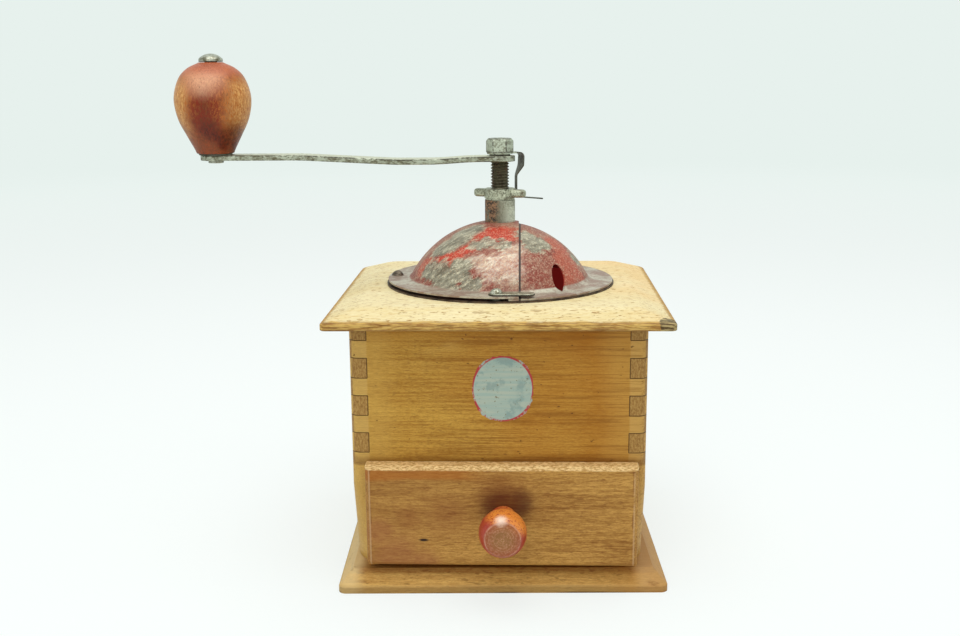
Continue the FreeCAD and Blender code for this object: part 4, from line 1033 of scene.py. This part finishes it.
class MILL_OT_base_board(Dressing, bpy.types.Operator):
    """Base board: a square with bevelled sides that meet in clear mitre lines"""

    bl_idname = "mill.base_board"
    bl_label = "Base board"

    def execute(self, context):
        wood = context.scene.mill_wood
        soft_piece("base_board", wood.edge, "case", finish_of(tan_base, wood), sharp=14.0)
        return {"FINISHED"}


class MILL_OT_case(Dressing, bpy.types.Operator):
    """Case boards: their joint fingers keep fine dark lines between them"""

    bl_idname = "mill.case_boards"
    bl_label = "Case boards"

    def execute(self, context):
        wood = context.scene.mill_wood
        across = finish_of(case_wood, wood, "X", name="case_across")
        back = finish_of(case_wood, wood, "Y", name="case_back")
        for node, finish in (("front_board", across), ("back_board", across),
                             ("side_board_left", back), ("side_board_right", back)):
            soft_piece(node, wood.joint, "case", finish, sharp=40.0)
        return {"FINISHED"}


class MILL_OT_drawer(Dressing, bpy.types.Operator):
    """Drawer: a bevelled front and plain boards behind it"""

    bl_idname = "mill.drawer"
    bl_label = "Drawer"

    def execute(self, context):
        wood = context.scene.mill_wood
        soft_piece("drawer_front", wood.edge, "drawer", finish_of(drawer_wood, wood), sharp=25.0)
        for node in ("drawer_side_left", "drawer_side_right", "drawer_back", "drawer_bottom"):
            soft_piece(node, wood.edge / 2, "drawer", finish_of(inner_wood, wood))
        return {"FINISHED"}


class MILL_OT_drawer_knob(Dressing, bpy.types.Operator):
    """Drawer knob: a narrow neck, a round belly and a flat rubbed end"""

    bl_idname = "mill.drawer_knob"
    bl_label = "Drawer knob"

    def execute(self, context):
        low, high = corners("drawer_knob")
        length, radius = high[1] - low[1], (high[0] - low[0]) / 2
        foot, neck, rounding = 5.4, 4.7, 1.2
        side = swept_line([(foot, 0), (neck, 0.14 * length), (0.68 * radius, 0.33 * length),
                           (radius * 0.94, 0.52 * length), (radius, 0.67 * length),
                           (0.93 * radius, 0.84 * length), (0.8 * radius, 0.95 * length)], 8)
        end = rounded_line([side[-1], (0.72 * radius, length), (0, length)], [rounding], 6)
        grid = turned(np.vstack([[(0, 0)], side, end[1:]]))
        middle = (low + high) / 2
        grid = points_of(middle[0] + grid[..., 0], high[1] - grid[..., 2], middle[2] + grid[..., 1])
        piece("drawer_knob_turned", surface("drawer_knob_turned", grid), "drawer",
              finish_of(drawer_knob_paint, context.scene.mill_drawer), "drawer_knob")
        put_on(finish_of(old_steel, context.scene.mill_crank), "drawer_knob_screw")
        return {"FINISHED"}


class MILL_OT_label(Dressing, bpy.types.Operator):
    """Paper label: a plain oval, torn a little at its edge"""

    bl_idname = "mill.label"
    bl_label = "Paper label"

    def execute(self, context):
        """The outline is x = a cos t, z = b sin t with both powers at 0.86, drawn in by a few small waves."""
        drawer = context.scene.mill_drawer
        board_front = corners("front_board")[0][1]
        wide, tall, centre = drawer.label_width / 2, drawer.label_height / 2, drawer.label_centre
        power, middle, paper = 0.86, 1.8, 0.12
        t = np.linspace(0, 2 * math.pi, 160, endpoint=False)
        random = np.random.default_rng(7)
        waves = sum(random.uniform(0.001, 0.005) * np.sin(k * t + random.uniform(0, 6)) for k in range(5, 40, 3))
        reach = 0.985 + waves
        cos, sin = (np.sign(wave) * np.abs(wave) ** power for wave in (np.cos(t), np.sin(t)))
        share = np.array([0, 0.3, 0.6, 0.8, 0.9, 0.95, 0.985, 1, 1])[:, None]
        proud = np.array([paper] * 7 + [0.09, -0.02])[:, None]
        x = middle + share * reach * cos * wide
        z = centre + share * reach * sin * tall
        mesh = surface("paper_label", points_of(x, board_front - proud, z))
        points = vertices(mesh)
        mark(mesh, "rim", np.hypot((points[:, 0] - middle) / wide, (points[:, 2] - centre) / tall))
        piece("paper_label", mesh, "case", finish_of(label_paper, drawer))
        return {"FINISHED"}


def dome_profile(radius, flange, fillet, hole, reach, centre, sheet):
    """The closed section of a sheet dome with a flange, outer line first and inner line back.

    The outer line is an arc of the sphere from the hole to where a fillet takes over, the fillet, and the
    flange. The inner line lies one sheet under it, station for station, so the two can be paired.
    """
    run = math.sqrt((radius + fillet) ** 2 - (flange + fillet - centre) ** 2)
    lean = math.atan2(run, flange + fillet - centre)

    def side(ball, bend, level):
        t = np.linspace(math.asin(hole / ball), lean, 44)
        sphere = np.stack([ball * np.sin(t), centre + ball * np.cos(t)], -1)
        t = np.linspace(lean, 0, 8)[1:]
        curve = np.stack([run - bend * np.sin(t), flange + fillet - bend * np.cos(t)], -1)
        flat = np.stack([np.linspace(run, reach, 8)[1:], np.full(7, level)], -1)
        return np.vstack([sphere, curve, flat])

    return np.vstack([side(radius, fillet, flange), side(radius - sheet, fillet + sheet, flange - sheet)[::-1]])


def cut_dome(name, profile, plane, beyond, steps=120):
    """Half a dome: the section is carried round the spindle between two ends that lie in an upright plane.

    A station of radius r runs between the angles where r cos t = plane, on the far side of the plane or on the
    near one, and all the way round where it doesn't reach the plane. The ends are closed where it does.
    """
    radius, height = profile.T
    start = np.arccos(np.clip(plane / radius, -1, 1))
    share = np.linspace(0, 1, steps)[:, None]
    angle = (-start + 2 * start * share) if beyond else (start + (2 * math.pi - 2 * start) * share)
    grid = points_of(radius * np.cos(angle), radius * np.sin(angle), height)
    reaches = radius > plane
    return surface(name, grid, ends=reaches[:-1] | reaches[1:])


def hole_cutter():
    """The finger hole's tube: an oval with a small round notch at its foot, leaning a little, run outwards.

    The oval's radius at t is 1 / |(cos t / a, sin t / b)|, and the notch's circle replaces it where it is wider.
    """
    half_wide, half_tall, notch, level = 3.2, 5.3, 1.6, 120.0
    turn, lean = math.radians(-46.7), math.radians(-26.8)
    drop = half_tall - 1.5
    t = np.linspace(0, 2 * math.pi, 72, endpoint=False)
    oval = 1 / np.hypot(np.cos(t) / half_wide, np.sin(t) / half_tall)
    toward = -drop * np.sin(t)
    bite = toward + np.sqrt(np.clip(notch**2 - drop**2 + toward**2, 0, None))
    reach = np.where((toward > 0) & (drop**2 - toward**2 < notch**2), np.maximum(oval, bite), oval)
    side = reach * (np.cos(t) * math.cos(lean) - np.sin(t) * math.sin(lean))
    up = reach * (np.cos(t) * math.sin(lean) + np.sin(t) * math.cos(lean))
    open_row = np.array([0.0, 1.0, 1.0, 0.0])[:, None]
    near, far = 22.0, 48.0
    out = np.array([near, near, far, far])[:, None]
    side, up = open_row * side, level + open_row * up
    return surface("hole", points_of(out * math.cos(turn) - side * math.sin(turn),
                                     out * math.sin(turn) + side * math.cos(turn), up))


class MILL_OT_hopper(Dressing, bpy.types.Operator):
    """Hopper: the fixed and the moving half of the dome, and the funnel with the lower ring"""

    bl_idname = "mill.hopper"
    bl_label = "Hopper"

    def execute(self, context):
        hopper = context.scene.mill_hopper
        paint = finish_of(dome_paint, hopper)
        flange = corners("front_clip")[0][2]
        reach, sheet, fixed_hole, moving_hole = 48.0, hopper.sheet, 6.4, 7.3
        fixed = dome_profile(hopper.radius, flange, hopper.fillet, fixed_hole, reach, hopper.centre, sheet)
        piece("fixed_half_dome", cut_dome("fixed_half_dome", fixed, hopper.seam, False), "case", paint,
              "hopper_shell")
        apart, drop = sheet + 0.3, sheet + 0.2
        moving = dome_profile(hopper.radius - apart, flange - drop, hopper.fillet + drop, moving_hole, reach,
                              hopper.centre, sheet)
        mesh = self.pierced(cut_dome("moving_half_dome", moving, hopper.seam - hopper.underlap, True))
        piece("moving_half_dome", mesh, "shutter", paint, "hopper_shutter")
        put_on(finish_of(inner_paint), "hopper_funnel")
        return {"FINISHED"}

    def pierced(self, mesh):
        """Cuts the finger hole."""
        cutter = bpy.data.objects.new("hole", hole_cutter())
        sheet = bpy.data.objects.new("sheet", mesh)
        for thing in (cutter, sheet):
            bpy.context.scene.collection.objects.link(thing)
        cut = sheet.modifiers.new("finger hole", "BOOLEAN")
        cut.operation, cut.object, cut.solver = "DIFFERENCE", cutter, "EXACT"
        bpy.context.view_layer.update()
        made = bpy.data.meshes.new_from_object(sheet.evaluated_get(bpy.context.evaluated_depsgraph_get()))
        for thing in (cutter, sheet):
            bpy.data.objects.remove(thing)
        made.name = "moving_half_dome"
        return settled(made)


class MILL_OT_flange_fittings(Dressing, bpy.types.Operator):
    """Clips, screws and rivet on the dome's flange"""

    bl_idname = "mill.flange_fittings"
    bl_label = "Flange fittings"

    def execute(self, context):
        crank = context.scene.mill_crank
        for clip in ("front_clip", "rear_clip"):
            soft_piece(clip, 0.18, "case", finish_of(clip_steel, crank))
        soft_piece("shell_screws", 0.12, "case", finish_of(screw_steel, crank), sharp=50.0)
        put_on(finish_of(dark_steel, crank), "screw_spacers", "clip_rivet", "ring_screws")
        return {"FINISHED"}


class MILL_OT_collar(Dressing, bpy.types.Operator):
    """Collar and adjusting plate"""

    bl_idname = "mill.collar"
    bl_label = "Collar and adjusting plate"

    def execute(self, context):
        crank = context.scene.mill_crank
        soft_piece("shaft_collar", 0.3, "case", finish_of(collar_steel, crank))
        soft_piece("adjusting_plate", 0.4, "plate", finish_of(worn_steel, crank), sharp=45.0)
        put_on(finish_of(worn_steel, crank), "thrust_washer")
        return {"FINISHED"}


class MILL_OT_spindle(Dressing, bpy.types.Operator):
    """Spindle: journal, shoulder, square, bearing stretch and a real thread"""

    bl_idname = "mill.spindle"
    bl_label = "Spindle"

    def execute(self, context):
        """The thread's radius is r - d s, where s is a triangle wave of (height / pitch - angle / turn)."""
        crank = context.scene.mill_crank
        low, high = corners("spindle")
        leaf_low, leaf_top = (corner[2] for corner in corners("leaf_clamp"))
        arm_low = leaf_low - crank.boss_height - crank.bar_thickness
        plate_low, plate_top = (corner[2] for corner in corners("adjusting_plate"))
        shoulder, cone_top = (corner[2] for corner in corners("burr_cone"))
        thread_low = plate_low - 2
        journal, collar, collar_height, stem, tip = 3.5, 6.0, 1.5, 3.7, 2.55
        cone_square, arm_square, row_step = 3.8, 2.6, 0.08
        angle = np.linspace(0, 2 * math.pi, 96, endpoint=False)

        def rows(z, radius):
            return points_of(radius * np.cos(angle), radius * np.sin(angle), z)

        def stretch(bottom, top, radius):
            z = np.array([[bottom], [top]])
            return rows(z, radius + angle * 0 + z * 0)

        def square(half):
            return half / np.maximum(np.abs(np.cos(angle)), np.abs(np.sin(angle)))

        z = np.arange(thread_low, arm_low, row_step)[:, None]
        phase = (z / crank.pitch - angle / (2 * math.pi)) % 1
        depth = crank.thread_depth * np.clip((z - z[0]) / 1.5, 0, 1)
        crest = stem + (crank.thread_radius - stem) * np.clip((z - plate_top) / 0.5, 0, 1)
        grid = np.concatenate([
            stretch(low[2], low[2], 0)[:1],
            stretch(low[2], shoulder - collar_height, journal),
            stretch(shoulder - collar_height, shoulder, collar),
            stretch(shoulder, cone_top, square(cone_square)),
            stretch(cone_top, thread_low, stem),
            rows(z, crest - depth * np.abs(2 * phase - 1)),
            stretch(arm_low, leaf_top, square(arm_square)),
            stretch(leaf_top, high[2], tip),
            stretch(high[2], high[2], 0)[:1],
        ])
        oiled = finish_of(oiled_thread, crank)
        piece("spindle_threaded", surface("spindle_threaded", grid, sharp=60.0), "crank", oiled, "spindle")
        put_on(oiled, "cone_pin")
        return {"FINISHED"}


class MILL_OT_crank(Dressing, bpy.types.Operator):
    """Crank: a flat bar with an S-bend and round eyes, its nut and its leaf spring"""

    bl_idname = "mill.crank"
    bl_label = "Crank"

    def execute(self, context):
        """At a place x the bar's half width is that of the eye's circle or of the bar, whichever is more, and its
        section is a rectangle with rounded corners whose middle height follows the S-bend."""
        crank = context.scene.mill_crank
        low, high = corners("crank_arm")
        thick, eye, rim = crank.bar_thickness, high[0], crank.boss_radius
        boss_top = corners("leaf_clamp")[0][2]
        near = boss_top - crank.boss_height - thick
        far = corners("knob_washer")[0][2] - thick
        knob = low[0] + eye
        bends = [(low[0] - 1, far), (-84, far), (-44, near - crank.dip), (-26, near - crank.dip), (-12, near),
                 (high[0] + 1, near)]
        bend_radius, bend_steps = 150, 12
        line = rounded_line(bends, [bend_radius] * 4, bend_steps)
        line = line[np.argsort(line[:, 0])].T
        t = np.linspace(0, math.pi / 2, 15)
        x = np.concatenate([knob - eye * np.cos(t), np.linspace(knob, 0, 90)[1:-1], eye * np.sin(t)])
        circle = np.sqrt(np.clip(eye**2 - np.minimum(np.abs(x - knob), np.abs(x)) ** 2, 0, None))
        half = np.where((x > knob) & (x < 0), np.maximum(circle, crank.bar_width / 2), circle)
        edge = np.minimum(crank.bar_edge, half)[:, None]
        corner = np.linspace(0, 2 * math.pi, 24, endpoint=False) + math.pi / 24
        y = np.sign(np.cos(corner)) * (half[:, None] - edge) + edge * np.cos(corner)
        middle = (np.interp(x, *line) + thick / 2)[:, None]
        z = middle + np.sign(np.sin(corner)) * (thick / 2 - edge) + edge * np.sin(corner)
        mesh = surface("crank_bar", points_of(x[:, None], y, z))
        points = vertices(mesh)
        mark(mesh, "level", (points[:, 2] - np.interp(points[:, 0], *line)) / thick * 2 - 1)
        piece("crank_bar", mesh, "crank", finish_of(bar_steel, crank), "crank_arm")
        bevel = 0.12
        boss = turned([(0, near + thick), (rim, near + thick), (rim, boss_top - bevel), (rim - bevel, boss_top),
                       (0, boss_top)], 64)
        dark = finish_of(dark_steel, crank)
        piece("crank_boss", surface("crank_boss", boss), "crank", dark)
        soft_piece("crank_nut", 0.15, "crank", finish_of(nut_steel, crank), sharp=25.0)
        put_on(finish_of(old_steel, crank), "leaf_clamp")
        put_on(dark, "leaf_spring")
        return {"FINISHED"}


class MILL_OT_crank_knob(Dressing, bpy.types.Operator):
    """Crank knob: a turned pear, the rivet that it spins on and its washer"""

    bl_idname = "mill.crank_knob"
    bl_label = "Crank knob"

    def execute(self, context):
        crank = context.scene.mill_crank
        low, high = corners("crank_knob")
        tall, radius = high[2] - low[2], (high[0] - low[0]) / 2
        foot, crown = 7.8, 5.0
        side = swept_line([(foot, 0), (0.55 * radius, 0.06 * tall), (0.695 * radius, 0.18 * tall),
                           (0.92 * radius, 0.385 * tall), (radius, 0.61 * tall), (0.87 * radius, 0.815 * tall),
                           (0.64 * radius, 0.93 * tall), (crown, tall)], 10)
        grid = turned(np.vstack([[(0, 0)], side, [(0, tall)]])) + np.array([(low[0] + high[0]) / 2, 0, low[2]])
        piece("crank_knob_turned", surface("crank_knob_turned", grid), "knob", finish_of(knob_stain, crank),
              "crank_knob")
        soft_piece("knob_pin", 0.2, "crank", finish_of(rivet_steel, crank), sharp=50.0)
        put_on(finish_of(dark_steel, crank), "knob_washer")
        return {"FINISHED"}


class MILL_OT_grinding_set(Dressing, bpy.types.Operator):
    """Grinding set: burrs, bridge and their bolts inside the case"""

    bl_idname = "mill.grinding_set"
    bl_label = "Grinding set"

    def execute(self, context):
        put_on(finish_of(burr_iron), "burr_ring", "burr_cone", "bottom_bridge")
        put_on(finish_of(dark_steel, context.scene.mill_crank), "burr_bolts", "bridge_screws", "base_screws")
        return {"FINISHED"}


class MILL_OT_stage(Dressing, bpy.types.Operator):
    """Camera, pale floor, soft lamps and even room light"""

    bl_idname = "mill.stage"
    bl_label = "Stage"

    def execute(self, context):
        stage = context.scene.mill_stage
        self.place_camera(context, stage)
        self.lay_floor(context, stage)
        self.light_room(context, stage)
        for name, place, wide, watts in (
            ("soft_box_above", (0.05, -0.15, 0.95), 0.9, stage.top_lamp),
            ("soft_box_front", (-0.35, -1.0, 0.65), 0.5, stage.top_lamp * 0.35),
        ):
            self.hang_lamp(context, name, place, wide, watts)
        return {"FINISHED"}

    def place_camera(self, context, stage):
        camera = bpy.data.objects.new("camera", bpy.data.cameras.new("camera"))
        context.scene.collection.objects.link(camera)
        camera.data.lens = stage.lens
        camera.data.sensor_fit = "HORIZONTAL"
        camera.data.sensor_width = 36.0
        camera.data.clip_start = 0.01
        camera.data.clip_end = 50.0
        sin, cos = math.sin, math.cos
        ahead = Vector((sin(stage.yaw) * cos(stage.pitch), cos(stage.yaw) * cos(stage.pitch), -sin(stage.pitch)))
        right = Vector((cos(stage.yaw), -sin(stage.yaw), 0))
        up = right.cross(ahead)
        level = cos(stage.roll) * right + sin(stage.roll) * up
        upward = -sin(stage.roll) * right + cos(stage.roll) * up
        turn = Matrix((level, upward, -ahead)).transposed().to_4x4()
        place = Vector((stage.camera_x, stage.camera_y, stage.camera_z)) * MM
        camera.matrix_world = Matrix.Translation(place) @ turn
        context.scene.camera = camera

    def lay_floor(self, context, stage):
        """A pale square that fades into the backdrop; to the camera it also glows, the more so the farther."""
        mesh = bpy.data.meshes.new("floor")
        reach = 12.0
        mesh.from_pydata([(-reach, -reach, 0), (reach, -reach, 0), (reach, reach, 0), (-reach, reach, 0)], [],
                         [(0, 1, 2, 3)])
        floor = bpy.data.objects.new("floor", mesh)
        context.scene.collection.objects.link(floor)
        f = Finish("pale_floor", specular=0.1)
        away = f.vector("LENGTH", f.where, output="Value")
        tone = f.blend(away.rise(0.15, 2.2), stage.floor, stage.backdrop)
        f.give(base_color=tone, roughness=0.9)
        glow = f.add("ShaderNodeEmission", {}, {"Color": tone, "Strength": 1.0})
        ray = f.add("ShaderNodeLightPath", {}, {}, "Is Camera Ray")
        lit = Signal(f, f.shader.outputs["BSDF"])
        share = ray * (away.rise(0.5, 1.8) * 0.28 + 0.72)
        shown = f.add("ShaderNodeMixShader", {}, {0: share, 1: lit, 2: glow})
        f.tree.links.new(shown.socket, f.tree.nodes["Material Output"].inputs["Surface"])
        mesh.materials.append(f.material)

    def light_room(self, context, stage):
        """Rays from the camera, mirrors and glass see the backdrop, and all others the even light."""
        world = bpy.data.worlds.new("room")
        context.scene.world = world
        world.use_nodes = True
        tree = world.node_tree
        tree.nodes.clear()

        def add(kind, **values):
            node = tree.nodes.new("ShaderNode" + kind)
            for name, value in values.items():
                node.inputs[name].default_value = value
            return node

        path = add("LightPath")
        seen = add("Background", Color=(*stage.backdrop, 1))
        light = add("Background", Color=(0.97, 1.0, 1.0, 1), Strength=stage.world)
        either, every = add("Math"), add("Math")
        either.operation = every.operation = "MAXIMUM"
        mix, out = add("MixShader"), add("OutputWorld")
        for source, socket in (
            (path.outputs["Is Camera Ray"], either.inputs[0]), (path.outputs["Is Glossy Ray"], either.inputs[1]),
            (either.outputs[0], every.inputs[0]), (path.outputs["Is Transmission Ray"], every.inputs[1]),
            (every.outputs[0], mix.inputs[0]), (light.outputs[0], mix.inputs[1]),
            (seen.outputs[0], mix.inputs[2]), (mix.outputs[0], out.inputs["Surface"]),
        ):
            tree.links.new(source, socket)

    def hang_lamp(self, context, name, place, wide, watts):
        """A square lamp that looks at the middle of the mill."""
        lamp = bpy.data.lights.new(name, "AREA")
        lamp.shape = "SQUARE"
        lamp.size = wide
        lamp.energy = watts
        thing = bpy.data.objects.new(name, lamp)
        thing.location = place
        thing.rotation_euler = (Vector((0, 0, 0.1)) - Vector(place)).to_track_quat("-Z", "Y").to_euler()
        context.scene.collection.objects.link(thing)


GROUPS = {
    "mill_wood": WoodProperties,
    "mill_hopper": HopperProperties,
    "mill_crank": CrankProperties,
    "mill_drawer": DrawerProperties,
    "mill_stage": StageProperties,
}
OPERATORS = [
    MILL_OT_stage, MILL_OT_top_board, MILL_OT_base_board, MILL_OT_case, MILL_OT_drawer, MILL_OT_drawer_knob,
    MILL_OT_label, MILL_OT_hopper, MILL_OT_flange_fittings, MILL_OT_collar, MILL_OT_spindle, MILL_OT_crank,
    MILL_OT_crank_knob, MILL_OT_grinding_set,
]


class MILL_PT_panel(bpy.types.Panel):
    """Lists the pieces in the sidebar"""

    bl_idname = "MILL_PT_panel"
    bl_label = "Coffee Mill"
    bl_space_type = "VIEW_3D"
    bl_region_type = "UI"
    bl_category = "Coffee Mill"

    def draw(self, context):
        for group in GROUPS:
            box = self.layout.box()
            for name in getattr(context.scene, group).bl_rna.properties.keys():
                if name not in ("rna_type", "name"):
                    box.prop(getattr(context.scene, group), name)
        for operator in OPERATORS:
            self.layout.operator(operator.bl_idname)


def register():
    for name, group in GROUPS.items():
        bpy.utils.register_class(group)
        setattr(bpy.types.Scene, name, PointerProperty(type=group))
    for kind in (*OPERATORS, MILL_PT_panel):
        bpy.utils.register_class(kind)


def unregister():
    for kind in (MILL_PT_panel, *reversed(OPERATORS)):
        bpy.utils.unregister_class(kind)
    for name, group in GROUPS.items():
        delattr(bpy.types.Scene, name)
        bpy.utils.unregister_class(group)


def main():
    """Makes every piece in order."""
    register()
    for operator in OPERATORS:
        getattr(bpy.ops.mill, operator.bl_idname.split(".")[1])()
    bpy.context.scene.view_settings.view_transform = "Standard"
    bpy.context.view_layer.update()


if __name__ == "__main__":
    main()
